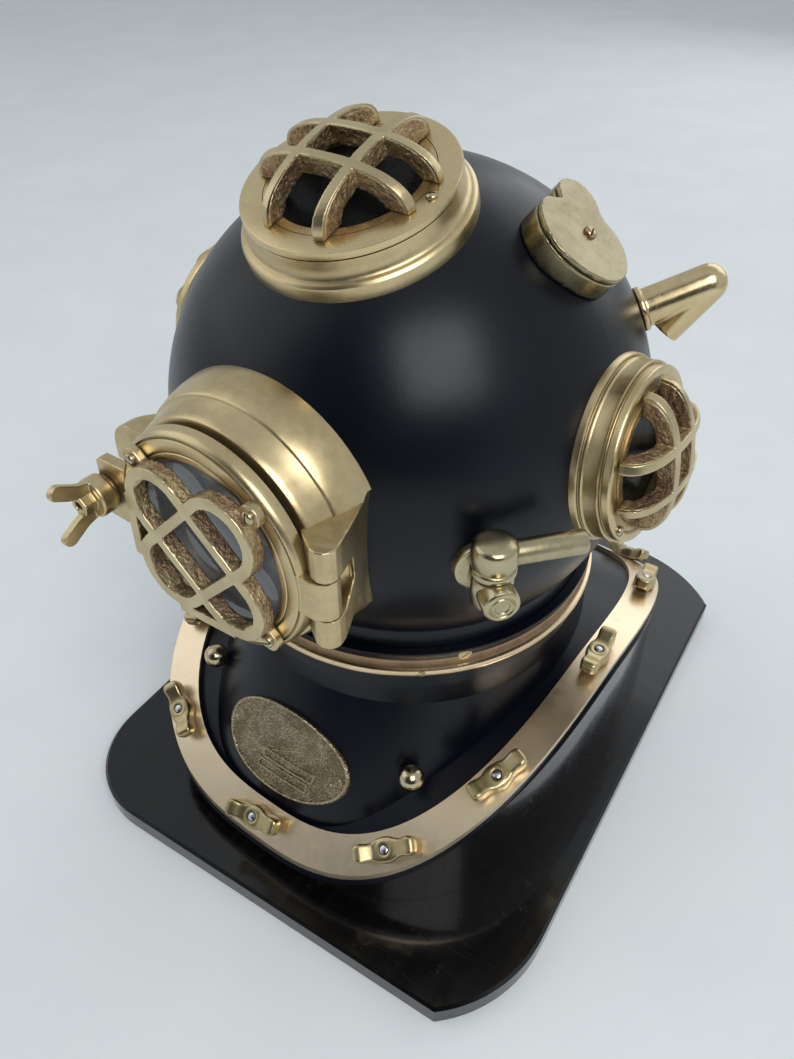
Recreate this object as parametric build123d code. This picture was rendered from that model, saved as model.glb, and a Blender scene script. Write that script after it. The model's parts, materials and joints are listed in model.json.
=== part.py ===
from build123d import *
import math
import os

# Brass diving helmet on its wooden stand, in millimetres, +Z up.
# The origin is the centre of the stand's underside, the face plate looks towards -Y
# and the diver's left hand is on the +X side.

# Clearances and cutting overruns shared by all pieces
seatGap = 0.3
fitGap = 0.1
runningGap = 0.05
overrun = 300

# Bonnet, its centre above the neck's edge
domeRadius = 145
domeWall = 3
domeY = -33
domeRise = 117
skirtRadius = 119

# Wooden stand
plateWidth = 357
plateDepth = 474
plateThickness = 16
plateTurn = 4.4
plateEdgeBevel = 2
frontLeftCorner = (37, 76)
frontRightCorner = (65, 65)
rearCorner = (86, 41)
riserHalfWidth = 156
riserHalfDepth = 197
riserWall = 16

# Saddle surface that the strap and the breastplate's flange follow
saddleTop = 127
saddleRadius = 290
collarY = -9
collarPower = 2.8
strapOuterHalfWidth = 154
strapOuterHalfDepth = 205
strapInnerHalfWidth = 131
strapInnerHalfDepth = 187
strapThickness = 4
flangeThickness = 5

# Breastplate shell, as stations from its open foot up to the neck
shellWall = 3
footHeight = 40
footHalfWidth = 131
footHalfDepth = 190
chestBulgeWidth = 2
chestBulgeDepth = 6
chestStations = 5
neckHeight = 176
throatDrop = 31
throatStep = 0.6
neckRadius = 117
circlePower = 2
outlinePoints = 48

# Neck rings between breastplate and bonnet
collarRingHeight = 11
collarRingRadius = 122
collarLip = 2
gasketThickness = 1.5
gasketWidth = 7
neckRingHeight = 17
neckRingRadius = 127
neckRingGroove = 4
spigotWall = 2.5
spigotLength = 14

# Studs and wing nuts of the strap
studRadius = 3
studLength = 17
nutHubRadius = 7.5
nutHeight = 9
nutWingSpan = 35
nutWaistWidth = 6
nutTipWidth = 9
nutRound = 1

# Ball studs and the blank oval plate on the breastplate's front
ballRadius = 8.5
ballStemRadius = 5
ballStemLength = 9
ballX = 82.6
ballHeight = 99
ovalWidth = 108
ovalHeight = 66
ovalThickness = 2
ovalRimWidth = 3
ovalRimHeight = 1
ovalCentreHeight = 99
ovalTilt = 38

# Front port, in distances out from the dome's centre
portBore = 46
portFootRadius = 75
portShoulderRadius = 71
portShoulderOut = 147
portFaceRadius = 65
portStepOut = 152
portFaceOut = 162

# Face plate
doorBack = 163
doorFront = 172
doorRadius = 63.5
doorBore = 44
doorGlassRadius = 52
doorGlassThickness = 4
doorGlassSeat = 164.5
retainerThickness = 2.5
retainerBore = 47
doorGasketWidth = 6
doorGasketRecess = 0.5

# Face plate guard
guardBack = 173.5
guardFront = 182
guardHalfLength = 52
guardHalfWidth = 23
guardBar = 7.5
guardCrossBar = 6
guardAngle = -44
guardRailEnd = (44, 17)
guardRailMiddle = (18, 47)
tabHalfWidth = 6.5
tabReach = 61
tabScrewRadius = 56
tabThickness = 5
tabScrewHead = 4
tabScrewHeight = 2.5

# Face plate hinge on the diver's left
hingeX = 70
hingeOut = 163
knuckleRadius = 7
doorKnuckleHalf = 12
hingeTop = 31
hingeTopBack = 36
hingeFoot = -31
hingeFootBack = -12
hingePinRadius = 3
hingePinHead = 4.5
hingePinHeadHeight = 2
hingePinCover = 5
hingeHeelX = 70
hingeHeelOut = 127
hingeInnerX = 54
hingeBack = 110
hingeRecess = 148
hingeArmX = 50
hingeArmBendX = 66

# Clamp lug and wing screw on the diver's right
screwX = -78
lugOuterX = -93
lugInnerX = -60
lugHalfHeight = 25
lugCheek = 9.5
lugFoot = 132
lugHeel = 140
lugKnee = 148
lugFace = 160
lugFootHalfHeight = 31
lugFootRound = 11
cheekInnerX = -67
cheekTop = 174
cheekRound = 6
earHalfHeight = 13
earThickness = 7
earInnerX = -55
screwRadius = 4
screwTipOut = 150
lugSlotClearance = 1
earBoreClearance = 0.4
washerThickness = 1.8
washerRadius = 9.5
screwCollarRadius = 9
screwCollarLength = 14
screwBossRadius = 7
screwBossLength = 15
wingThickness = 6
wingRootHalf = 6
wingTipHalf = 21
wingRise = 18
wingRootDepth = 9
wingTipDepth = 7

# Round windows: top, left and right
windowFlangeRadius = 60
windowBore = 36
windowFlangeOut = 141
windowNeckRadius = 54
windowNeckOut = 150
windowRimRadius = 55
windowFaceOut = 156
windowStep = 1.5
windowGlassRadius = 43
windowGlassThickness = 4
windowGlassSeat = 146
windowRingBore = 38
windowGuardRise = 21
windowGuardHollow = 9
windowGuardReach = 50
windowBarWidth = 7
topBarOffsets = (17, 12)
sideBarOffsets = (10, 13)
topWindowShare = 1.0
sideWindowShare = 0.85
topWindowElevation = 71
sideWindowElevation = 8

# Kidney-shaped cup on the diver's left
cupAzimuth = 95
cupElevation = 51
cupHalfSize = 28
cupLidOut = 158
cupLidThickness = 3
cupWall = 3
cupFloor = 6
cupScrewRadius = 3.5
cupScrewHeight = 2.5
cupNotchShare = (0.2, 0.8)
cupOutlineShares = ((0.36, 0.98), (0.75, 1.03), (1.05, 0.8), (1.06, 0.4), (0.86, 0.06), (0.84, -0.3),
                    (0.45, -0.84), (0.0, -0.96), (-0.4, -0.82), (-0.76, -0.39), (-0.92, 0.1),
                    (-0.82, 0.57), (-0.55, 0.88), (-0.16, 0.98))

# Elbow tubes at the back
elbowAzimuth = 126.3
elbowElevation = 24.3
elbowOut = 184
elbowRadius = 11
elbowBore = 8
elbowDrop = 34
elbowFold = 151
elbowFlangeRadius = 13
elbowFlangeThickness = 3

# Small tap at the front left
tapAzimuth = 50
tapFlangeRadius = 15
tapFlangeThickness = 5
tapBarrelRadius = 8
tapBarrelDrop = 9
tapOut = 163
tapBodyRadius = 10.5
tapBodyTop = 1
tapBodyBottom = -24
tapHexAcross = 15
tapHexLength = 9
tapPlugRadius = 9.5
tapPlugThickness = 6
tapPlugDrop = 12
tapCapRadius = 11.5
tapCapHeight = 20
tapStemRadius = 5
tapStemLength = 8
tapArmRadius = 7
tapArmLength = 46
tapArmCollarRadius = 9
tapArmCollarLength = 7
tapArmHeight = 11
tapArmStart = 11

# Exhaust valve at the back right
valveAzimuth = -124
valveElevation = -10
valveFlangeRadius = 30
valveFlangeThickness = 5
valveBodyRadius = 24
valveBodyOut = 168
valveStemRadius = 5
valveStemLength = 10
valveWheelRadius = 22
valveWheelThickness = 9
valveLobes = 6
valveLobeRadius = 5

# Values worked out from the ones above
domeHeight = neckHeight + domeRise
throatHeight = neckHeight - throatDrop
hingeSlot = doorKnuckleHalf + seatGap
saddleAxisHeight = saddleTop - saddleRadius
strapUnderside = saddleRadius - strapThickness
flangeTop = strapUnderside - seatGap
flangeUnderside = flangeTop - flangeThickness
strapMidHalfWidth = (strapOuterHalfWidth + strapInnerHalfWidth) / 2
strapMidHalfDepth = (strapOuterHalfDepth + strapInnerHalfDepth) / 2
collarRingTop = neckHeight + collarLip
gasketTop = collarRingTop + seatGap + gasketThickness
neckRingBottom = gasketTop + seatGap
neckRingTop = neckRingBottom + neckRingHeight
skirtBottom = neckRingBottom + neckRingGroove
kneeDrop = math.sqrt(domeRadius ** 2 - skirtRadius ** 2)

domeFrame = Location((0, domeY, domeHeight))
frontPlane = Plane(origin=(0, domeY, domeHeight), x_dir=(1, 0, 0), z_dir=(0, -1, 0))


def aimed(azimuth, elevation):
    """Plane at the dome's centre whose z axis points out at the given angles."""
    a = math.radians(azimuth)
    e = math.radians(elevation)
    outward = (math.sin(a) * math.cos(e), -math.cos(a) * math.cos(e), math.sin(e))
    return Plane(origin=(0, domeY, domeHeight), x_dir=(math.cos(a), math.sin(a), 0), z_dir=outward)


def turned(profile):
    """Solid of revolution about local z from (radius, height) points."""
    outline = Polyline([(r, 0, z) for r, z in profile], close=True)
    return revolve(make_face(outline), Axis.Z)


def disc(radius, low, high):
    return Pos(0, 0, low) * Cylinder(radius, high - low, align=(Align.CENTER, Align.CENTER, Align.MIN))


def ring(outer, inner, low, high):
    return disc(outer, low, high) - disc(inner, low, high)


def slab(x0, x1, y0, y1, z0, z1):
    """Box between two corners."""
    corner = (Align.MIN, Align.MIN, Align.MIN)
    return Pos(x0, y0, z0) * Box(x1 - x0, y1 - y0, z1 - z0, align=corner)


def ovalOutline(halfWidth, halfDepth, centreY, power, height):
    """Rounded outline between an ellipse and a rectangle, drawn from its formula."""
    points = []
    for i in range(outlinePoints):
        t = math.tau * i / outlinePoints
        c, s = math.cos(t), math.sin(t)
        x = halfWidth * math.copysign(abs(c) ** (2 / power), c)
        y = halfDepth * math.copysign(abs(s) ** (2 / power), s)
        points.append((x, centreY + y, height))
    return make_face(Spline(points, periodic=True))


def collarColumn(halfWidth, halfDepth, bottom=0.0):
    """Upright column with the collar's outline, tall enough to be cut by the saddle."""
    outline = ovalOutline(halfWidth, halfDepth, collarY, collarPower, bottom)
    return extrude(outline, saddleTop - bottom, dir=(0, 0, 1))


def saddle(radius):
    """Cylinder across the shoulders whose top is the saddle surface."""
    return Pos(0, collarY, saddleAxisHeight) * Rot(0, 90, 0) * Cylinder(radius, overrun * 2)


def saddlePoint(depthShare, side):
    """Station on the strap's middle line: x, y from the collar's centre and its slope."""
    y = strapMidHalfDepth * depthShare
    x = side * strapMidHalfWidth * (1 - abs(depthShare) ** collarPower) ** (1 / collarPower)
    return x, y, math.asin(y / saddleRadius)


def save(shape, node):
    export_step(shape, "parts/" + node + ".step")
    print(node)


os.makedirs("parts", exist_ok=True)


# Stand
def basePlate():
    """Board with hand-cut corners, which stands slightly turned under the helmet."""
    w, d = plateWidth / 2, plateDepth / 2
    corners = {(1, -1): frontLeftCorner, (-1, -1): frontRightCorner, (1, 1): rearCorner, (-1, 1): rearCorner}
    edges = []
    for side in (1, -1):
        front, rear = corners[side, -1], corners[side, 1]
        edges.append(Line((side * w, front[1] - d), (side * w, d - rear[1])))
        edges.append(TangentArc((side * w, front[1] - d), (side * (w - front[0]), -d), tangent=(0, -1)))
        edges.append(TangentArc((side * (w - rear[0]), d), (side * w, d - rear[1]), tangent=(side, 0)))
    edges.append(Line((frontRightCorner[0] - w, -d), (w - frontLeftCorner[0], -d)))
    edges.append(Line((rearCorner[0] - w, d), (w - rearCorner[0], d)))
    board = extrude(make_face(edges), plateThickness)
    board = chamfer(board.faces().sort_by(Axis.Z)[-1].edges(), plateEdgeBevel)
    return Rot(0, 0, plateTurn) * board


def riser():
    outer = collarColumn(riserHalfWidth, riserHalfDepth, plateThickness)
    inner = collarColumn(riserHalfWidth - riserWall, riserHalfDepth - riserWall, plateThickness)
    return (outer - inner) & saddle(flangeUnderside - seatGap)


save(basePlate(), "base_plate")
save(riser(), "riser")


# Breastplate
def chestStation(share):
    """Half width, half depth, centre, outline power and height at a share of the rise."""
    bulge = 4 * share * (1 - share)
    halfWidth = footHalfWidth + (neckRadius - footHalfWidth) * share + chestBulgeWidth * bulge
    halfDepth = footHalfDepth + (neckRadius - footHalfDepth) * share + chestBulgeDepth * bulge
    centre = collarY + (domeY - collarY) * share
    power = circlePower + (collarPower - circlePower) * (1 - share) ** 2
    return halfWidth, halfDepth, centre, power, footHeight + (throatHeight - footHeight) * share


def chestForm(grow):
    """Filled breastplate from its foot to the neck, grown by an even offset."""
    sections = []
    for i in range(chestStations):
        halfWidth, halfDepth, centre, power, height = chestStation(i / (chestStations - 1))
        sections.append(ovalOutline(halfWidth + grow, halfDepth + grow, centre, power, height))
    neck = disc(neckRadius + throatStep + grow, throatHeight - collarRingHeight, neckHeight)
    return loft(sections) + Pos(0, domeY, 0) * neck


def chestFront(x, height):
    """The y of the breastplate's front surface."""
    halfWidth, halfDepth, centre, power, z = chestStation((height - footHeight) / (throatHeight - footHeight))
    return centre - halfDepth * (1 - (abs(x) / halfWidth) ** power) ** (1 / power)


chestOuter = chestForm(0)
chestInner = chestForm(-shellWall)
chestSeat = chestForm(seatGap)


def breastplate():
    flange = collarColumn(strapOuterHalfWidth, strapOuterHalfDepth) & saddle(flangeTop)
    body = chestOuter + flange
    return body - saddle(flangeUnderside) - chestInner


def strap():
    """Flat band that clamps the breastplate's flange all round."""
    band = collarColumn(strapOuterHalfWidth, strapOuterHalfDepth)
    band = band - collarColumn(strapInnerHalfWidth, strapInnerHalfDepth)
    return (band & saddle(saddleRadius)) - saddle(strapUnderside) - chestSeat


def stations():
    """Places of the twelve studs as planes square to the strap."""
    shares = (0.0, 0.556, 0.88)
    places = [(s, side) for side in (1, -1) for s in (-shares[2], -shares[1], shares[0], shares[1], shares[2])]
    places += [(-1.0, 1), (1.0, 1)]
    found = []
    for share, side in places:
        x, y, slope = saddlePoint(share, side)
        z = saddleAxisHeight + saddleRadius * math.cos(slope)
        up = Vector(0, math.sin(slope), math.cos(slope))
        nx = abs(x / strapMidHalfWidth) ** (collarPower - 1) / strapMidHalfWidth * math.copysign(1, x)
        ny = abs(share) ** (collarPower - 1) / strapMidHalfDepth * math.copysign(1, share)
        run = Vector(-ny, nx, 0)
        along = (run - up * run.dot(up)).normalized()
        found.append(Plane(origin=(x, collarY + y, z), x_dir=along, z_dir=up))
    return found


studPlanes = stations()
studHole = Cylinder(studRadius + fitGap, 4 * strapThickness)


def withoutHoles(band):
    for plane in studPlanes:
        band = band - plane.location * studHole
    return band


def stud():
    return disc(studRadius, seatGap - strapThickness, studLength - strapThickness)


def wingNut():
    half, waist, tip = nutWingSpan / 2, nutWaistWidth / 2, nutTipWidth / 2
    outline = Polyline((0, waist), (half, tip), (half, -tip), (0, -waist), (-half, -tip), (-half, tip), close=True)
    face = make_face(outline) + Circle(nutHubRadius)
    nut = Pos(0, 0, seatGap) * extrude(face, nutHeight)
    nut = fillet(nut.faces().sort_by(Axis.Z)[-1].edges(), nutRound)
    return nut - disc(studRadius + fitGap, 0, nutHeight + seatGap + nutRound)


save(breastplate(), "breastplate")
save(withoutHoles(strap()), "strap")
save(Compound([plane.location * stud() for plane in studPlanes]), "strap_studs")
save(Compound([plane.location * wingNut() for plane in studPlanes]), "strap_wing_nuts")


def ballStuds():
    """Two ball studs whose stems end on the breastplate's surface."""
    studs = []
    for side in (1, -1):
        foot = Vector(side * ballX, chestFront(ballX, ballHeight), ballHeight)
        bearing = math.atan2(foot.X, domeY - foot.Y)
        out = Vector(math.sin(bearing) * math.cos(math.radians(ovalTilt)),
                     -math.cos(bearing) * math.cos(math.radians(ovalTilt)), math.sin(math.radians(ovalTilt)))
        plane = Plane(origin=foot, z_dir=out)
        shape = disc(ballStemRadius, -ballStemLength, ballStemLength)
        shape = shape + Pos(0, 0, ballStemLength) * Sphere(ballRadius)
        studs.append(plane.location * shape - chestSeat)
    return Compound(studs)


def ovalPlate():
    tilt = math.radians(ovalTilt)
    plane = Plane(origin=(0, chestFront(0, ovalCentreHeight), ovalCentreHeight), x_dir=(1, 0, 0),
                  z_dir=(0, -math.cos(tilt), math.sin(tilt)))
    reach = ovalWidth / 2
    blank = extrude(Ellipse(ovalWidth / 2, ovalHeight / 2), reach, both=True)
    field = extrude(Ellipse(ovalWidth / 2 - ovalRimWidth, ovalHeight / 2 - ovalRimWidth), reach, both=True)
    rim = plane.location * (blank - field)
    plate = ((plane.location * blank) & chestForm(seatGap + ovalThickness)) - chestSeat
    raised = (rim & chestForm(seatGap + ovalThickness + ovalRimHeight)) - chestSeat
    front = slab(-overrun, overrun, -overrun, collarY, 0, overrun)
    return (plate + raised) & front


save(ballStuds(), "ball_studs")
save(ovalPlate(), "oval_plate")


# Neck rings and gasket, which turn about the neck's own axis
neckAxis = Location((0, domeY, 0))


def collarRing():
    """Ring round the neck with a lip over the neck's edge."""
    inner = neckRadius + throatStep - shellWall
    body = ring(collarRingRadius, inner, neckHeight - collarRingHeight, collarRingTop)
    body = body - disc(neckRadius + throatStep + seatGap, 0, neckHeight + seatGap)
    return neckAxis * body


def neckRing():
    """Bonnet's ring: lower bead, hollow band and upper bead, with a spigot inside."""
    band = neckRingTop - neckRingBottom
    profile = (
        (skirtRadius - domeWall, neckRingBottom),
        (neckRingRadius, neckRingBottom),
        (neckRingRadius, neckRingBottom + band / 4),
        (neckRingRadius - neckRingGroove, neckRingBottom + band / 3),
        (neckRingRadius - neckRingGroove, neckRingBottom + band * 2 / 3),
        (neckRingRadius - neckRingGroove / 2, neckRingTop),
        (skirtRadius + seatGap, neckRingTop),
        (skirtRadius + seatGap, skirtBottom - seatGap),
        (skirtRadius - domeWall, skirtBottom - seatGap),
    )
    spigotRadius = neckRadius - shellWall - 2 * seatGap
    spigot = ring(spigotRadius, spigotRadius - spigotWall, neckRingBottom - spigotLength, skirtBottom - seatGap)
    shoulder = ring(skirtRadius - domeWall, spigotRadius - spigotWall, neckRingBottom, skirtBottom - seatGap)
    return neckAxis * (turned(profile) + spigot + shoulder)


save(collarRing(), "collar_ring")
gasketOuter = (collarRingRadius + neckRadius - shellWall + gasketWidth) / 2
neckGasket = ring(gasketOuter, gasketOuter - gasketWidth, collarRingTop + seatGap, gasketTop)
save(neckAxis * neckGasket, "neck_gasket")
save(neckRing(), "neck_ring")


# Bonnet
def bonnetForm(radius, skirt, length):
    """Ball with a straight skirt below the height where both have the same radius."""
    knee = -math.sqrt(radius ** 2 - skirt ** 2)
    ball = Sphere(radius) - disc(radius, -radius, knee)
    return ball + disc(skirt, knee - length, knee)


topPlane = aimed(0, topWindowElevation)
leftPlane = aimed(90, sideWindowElevation)
rightPlane = aimed(-90, sideWindowElevation)
windows = (
    ("top", topPlane, topWindowShare, topBarOffsets),
    ("left", leftPlane, sideWindowShare, sideBarOffsets),
    ("right", rightPlane, sideWindowShare, sideBarOffsets),
)
cupPlane = aimed(cupAzimuth, cupElevation)
tapPlane = aimed(tapAzimuth, 0)
valvePlane = aimed(valveAzimuth, valveElevation)
elbowPlanes = {"left": aimed(elbowAzimuth, elbowElevation), "right": aimed(-elbowAzimuth, elbowElevation)}


def bonnet():
    drop = domeHeight - skirtBottom
    shell = bonnetForm(domeRadius, skirtRadius, drop - kneeDrop)
    innerKnee = math.sqrt((domeRadius - domeWall) ** 2 - (skirtRadius - domeWall) ** 2)
    shell = shell - bonnetForm(domeRadius - domeWall, skirtRadius - domeWall, drop - innerKnee + seatGap)
    shell = domeFrame * shell
    shell = shell - frontPlane.location * disc(portBore, domeRadius / 2, domeRadius * 2)
    for name, plane, share, offsets in windows:
        shell = shell - plane.location * disc(windowBore * share, domeRadius / 2, domeRadius * 2)
    for plane in elbowPlanes.values():
        shell = shell - plane.location * disc(elbowBore, domeRadius / 2, domeRadius * 2)
    return shell


domeSeat = Sphere(domeRadius + seatGap)
save(bonnet(), "bonnet")


# Front port, hinge block and clamp lug, all in the front plane's own frame
def portForm(grow, bore):
    """Port drum with its shoulder, grown outwards for the pieces that sit against it."""
    profile = (
        (bore, domeRadius / 2),
        (portFootRadius + grow, domeRadius / 2),
        (portFootRadius + grow, lugFoot),
        (portShoulderRadius + grow, portShoulderOut),
        (portFaceRadius + grow, portStepOut),
        (portFaceRadius + grow, portFaceOut),
        (bore, portFaceOut),
    )
    return turned(profile)


portSeat = portForm(seatGap, portBore)


def sideways(points, halfHeight):
    """Prism with an outline in the front plane's x and outward axes, even about its height."""
    face = make_face(Polyline([(x, 0, z) for x, z in points], close=True))
    return extrude(face, halfHeight, dir=(0, 1, 0), both=True)


def upright(radius, x, out, low, high):
    """Upright cylinder standing on the front plane's height axis."""
    bar = Cylinder(radius, high - low, align=(Align.CENTER, Align.CENTER, Align.MIN))
    return Pos(x, low, out) * Rot(-90, 0, 0) * bar


def hingeBlock():
    """Block beside the port with two knuckles, a recess between them and a sloping top and foot."""
    plan = sideways((
        (hingeInnerX, hingeOut),
        (hingeX + knuckleRadius, hingeOut),
        (hingeHeelX, hingeHeelOut),
        (hingeHeelX, hingeBack),
        (hingeInnerX, hingeBack),
    ), hingeTopBack)
    rise = make_face(Polyline([(0, y, z) for y, z in (
        (hingeTop, hingeOut + knuckleRadius),
        (hingeTop, hingeOut),
        (hingeTopBack, hingeHeelOut),
        (hingeTopBack, hingeBack),
        (hingeFootBack, hingeBack),
        (hingeFootBack, hingeHeelOut),
        (hingeFoot, hingeOut - knuckleRadius),
        (hingeFoot, hingeOut + knuckleRadius),
    )], close=True))
    block = plan + upright(knuckleRadius, hingeX, hingeOut, hingeFoot, hingeTop)
    block = block & extrude(rise, overrun, dir=(1, 0, 0))
    block = block - slab(-overrun, overrun, -hingeSlot, hingeSlot, hingeRecess, overrun)
    block = block - upright(hingePinRadius + fitGap, hingeX, hingeOut, -overrun, hingeTop - hingePinCover)
    block = block - disc(doorRadius + seatGap, portFaceOut, overrun)
    return block - portSeat - domeSeat


def hingePin():
    """Pin pushed in from below, with its head under the lower knuckle."""
    foot = hingeFoot - seatGap
    pin = upright(hingePinRadius, hingeX, hingeOut, foot, hingeTop - hingePinCover - seatGap)
    return pin + upright(hingePinHead, hingeX, hingeOut, foot - hingePinHeadHeight, foot)


def clampLug():
    """Rounded foot with two cheeks, and a slot that the screw swings into from the side."""
    foot = sideways((
        (lugInnerX, lugFace),
        (lugOuterX, lugFace),
        (lugOuterX, lugKnee),
        (screwX, lugHeel),
        (lugInnerX, lugFoot),
    ), lugHalfHeight)
    flange = RectangleRounded(2 * (lugInnerX - lugOuterX), 2 * lugFootHalfHeight, lugFootRound)
    flange = Pos(lugInnerX, 0, lugFoot) * extrude(flange, lugKnee - lugFoot)
    flange = flange & sideways((
        (lugInnerX, lugKnee),
        (lugOuterX, lugKnee),
        (screwX, lugHeel),
        (lugInnerX, lugFoot),
    ), lugFootHalfHeight)
    cheeks = sideways((
        (cheekInnerX, lugKnee),
        (lugOuterX, lugKnee),
        (lugOuterX, cheekTop - cheekRound),
        (lugOuterX + cheekRound, cheekTop),
        (cheekInnerX - cheekRound, cheekTop),
        (cheekInnerX, cheekTop - cheekRound),
    ), lugHalfHeight)
    inner = lugHalfHeight - lugCheek
    cheeks = cheeks - slab(-overrun, 0, -inner, inner, lugFace, overrun)
    slot = screwRadius + lugSlotClearance
    lug = foot + flange + cheeks
    lug = lug - slab(-overrun, screwX, -slot, slot, lugKnee, overrun)
    lug = lug - Pos(screwX, 0, 0) * disc(slot, lugKnee, overrun)
    return lug - portSeat - domeSeat


def frontPort():
    """Port drum with a notch that the face plate's knuckle turns in."""
    port = portForm(0, portBore) - domeSeat
    return port - upright(knuckleRadius + seatGap, hingeX, hingeOut, -hingeSlot, hingeSlot)


save(frontPlane.location * frontPort(), "front_port")
save(frontPlane.location * hingeBlock(), "hinge_block")
save(frontPlane.location * hingePin(), "hinge_pin")
save(frontPlane.location * clampLug(), "clamp_lug")


# Face plate
def doorRing():
    body = disc(doorRadius, doorBack, doorFront)
    arm = sideways((
        (hingeArmX, doorBack),
        (hingeArmX, doorFront),
        (hingeArmBendX, doorFront),
        (hingeX, hingeOut + knuckleRadius),
        (hingeX, doorBack),
    ), doorKnuckleHalf)
    knuckle = upright(knuckleRadius, hingeX, hingeOut, -doorKnuckleHalf, doorKnuckleHalf)
    ear = slab(screwX, earInnerX, -earHalfHeight, earHalfHeight, doorBack, doorBack + earThickness)
    ear = ear + Pos(screwX, 0, 0) * disc(earHalfHeight, doorBack, doorBack + earThickness)
    body = body + arm + knuckle + ear
    body = body - disc(doorBore, 0, overrun)
    body = body - disc(doorGlassRadius + seatGap, doorGlassSeat, overrun)
    body = body - upright(hingePinRadius + runningGap, hingeX, hingeOut, -overrun, overrun)
    body = body - Pos(screwX, 0, 0) * disc(screwRadius + earBoreClearance, 0, overrun)
    return body


glassFoot = doorGlassSeat + seatGap
glassTop = glassFoot + doorGlassThickness
doorGlass = disc(doorGlassRadius, glassFoot, glassTop)
doorRetainer = ring(doorGlassRadius, retainerBore, glassTop + seatGap, glassTop + seatGap + retainerThickness)
doorGasket = ring(doorRadius - doorGasketWidth, doorRadius - 2 * doorGasketWidth, doorBack - doorGasketRecess, doorBack)


def guard():
    """Two crossing loops with four openings, lugs at the four ends."""
    overall = 2 * guardHalfLength
    wide = 2 * guardHalfWidth
    inner = guardHalfWidth - guardBar
    long = 2 * (guardHalfLength - guardBar)
    face = SlotOverall(overall, wide) + Rot(0, 0, 90) * SlotOverall(overall, wide)
    window = SlotOverall(long, 2 * inner) - Rectangle(2 * (inner + guardCrossBar), wide)
    face = face - Rectangle(2 * inner, 2 * inner) - window - Rot(0, 0, 90) * window
    for side in (1, -1):
        ends = ((side * guardRailEnd[0], -guardRailEnd[1]), (side * guardRailMiddle[0], -guardRailMiddle[1]))
        face = face + trace(Line(*ends), guardCrossBar)
    frame = Pos(0, 0, guardBack) * extrude(face, guardFront - guardBack)
    for turn in range(4):
        lug = slab(guardHalfLength - guardBar, tabScrewRadius, -tabHalfWidth, tabHalfWidth, doorFront, doorFront + tabThickness)
        lug = lug + Pos(tabScrewRadius, 0, 0) * disc(tabHalfWidth, doorFront, doorFront + tabThickness)
        frame = frame + Rot(0, 0, turn * 90) * lug
    return Rot(0, 0, guardAngle) * frame


def tabScrews():
    foot = doorFront + tabThickness
    heads = []
    for turn in range(4):
        place = Rot(0, 0, guardAngle + turn * 90) * Pos(tabScrewRadius, 0, 0)
        heads.append(place * disc(tabScrewHead, foot, foot + tabScrewHeight))
    return Compound(heads)


save(frontPlane.location * doorRing(), "door_ring")
save(frontPlane.location * doorGlass, "door_glass")
save(frontPlane.location * doorRetainer, "door_retainer")
save(frontPlane.location * doorGasket, "door_gasket")
save(frontPlane.location * guard(), "door_guard")
save(frontPlane.location * tabScrews(), "door_guard_screws")


# Wing screw that clamps the face plate
def wingScrew():
    foot = doorBack + earThickness + seatGap + washerThickness + seatGap
    bossFoot = foot + screwCollarLength
    shape = disc(screwRadius, screwTipOut, foot)
    shape = shape + disc(screwCollarRadius, foot, bossFoot)
    boss = extrude(RegularPolygon(screwBossRadius, 6), screwBossLength)
    shape = shape + Pos(0, 0, bossFoot) * boss
    for side in (1, -1):
        outline = Polyline(
            (0, 0, bossFoot - wingRootDepth / 2),
            (0, side * wingRootHalf, bossFoot - wingRootDepth / 2),
            (0, side * wingTipHalf, bossFoot + wingRise - wingTipDepth),
            (0, side * (wingTipHalf - wingTipDepth / 2), bossFoot + wingRise),
            (0, side * wingRootHalf, bossFoot + wingRootDepth / 2),
            (0, 0, bossFoot + wingRootDepth / 2),
            close=True,
        )
        shape = shape + extrude(make_face(outline), wingThickness / 2, dir=(1, 0, 0), both=True)
    return Pos(screwX, 0, 0) * shape


washerFoot = doorBack + earThickness + seatGap
washer = Pos(screwX, 0, 0) * ring(washerRadius, screwRadius + fitGap, washerFoot, washerFoot + washerThickness)
save(frontPlane.location * wingScrew(), "wing_screw")
save(frontPlane.location * washer, "screw_washer")


# Round windows: the side ones are a share of the top one across, and as deep
def windowBody(share):
    profile = (
        (windowBore, domeRadius / 2),
        (windowFlangeRadius, domeRadius / 2),
        (windowFlangeRadius, windowFlangeOut),
        (windowNeckRadius, windowFlangeOut + windowStep),
        (windowNeckRadius, windowNeckOut),
        (windowRimRadius, windowNeckOut + windowStep),
        (windowRimRadius, windowFaceOut - windowStep),
        (windowRimRadius - windowStep, windowFaceOut),
        (windowGlassRadius, windowFaceOut),
        (windowGlassRadius, windowGlassSeat),
        (windowBore, windowGlassSeat),
    )
    return turned([(r * share, z) for r, z in profile]) - domeSeat


def windowGuard(share, offsets):
    """Upright bars that cross in pairs under a domed outline and stand on the rim."""
    reach = windowGuardReach * share
    bowShare = reach / windowGuardRise
    hollowShare = windowBore * share / windowGuardHollow
    bow = scale(Sphere(windowGuardRise), by=(bowShare, bowShare, 1))
    hollow = scale(Sphere(windowGuardHollow), by=(hollowShare, hollowShare, 1))
    bars = Sketch()
    for side in (1, -1):
        bars = bars + Pos(side * offsets[0], 0) * Rectangle(windowBarWidth, 2 * reach)
        bars = bars + Pos(0, side * offsets[1]) * Rectangle(2 * reach, windowBarWidth)
    column = extrude(bars, windowGuardRise)
    return Pos(0, 0, windowFaceOut + seatGap) * ((bow - hollow) & column)


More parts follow.
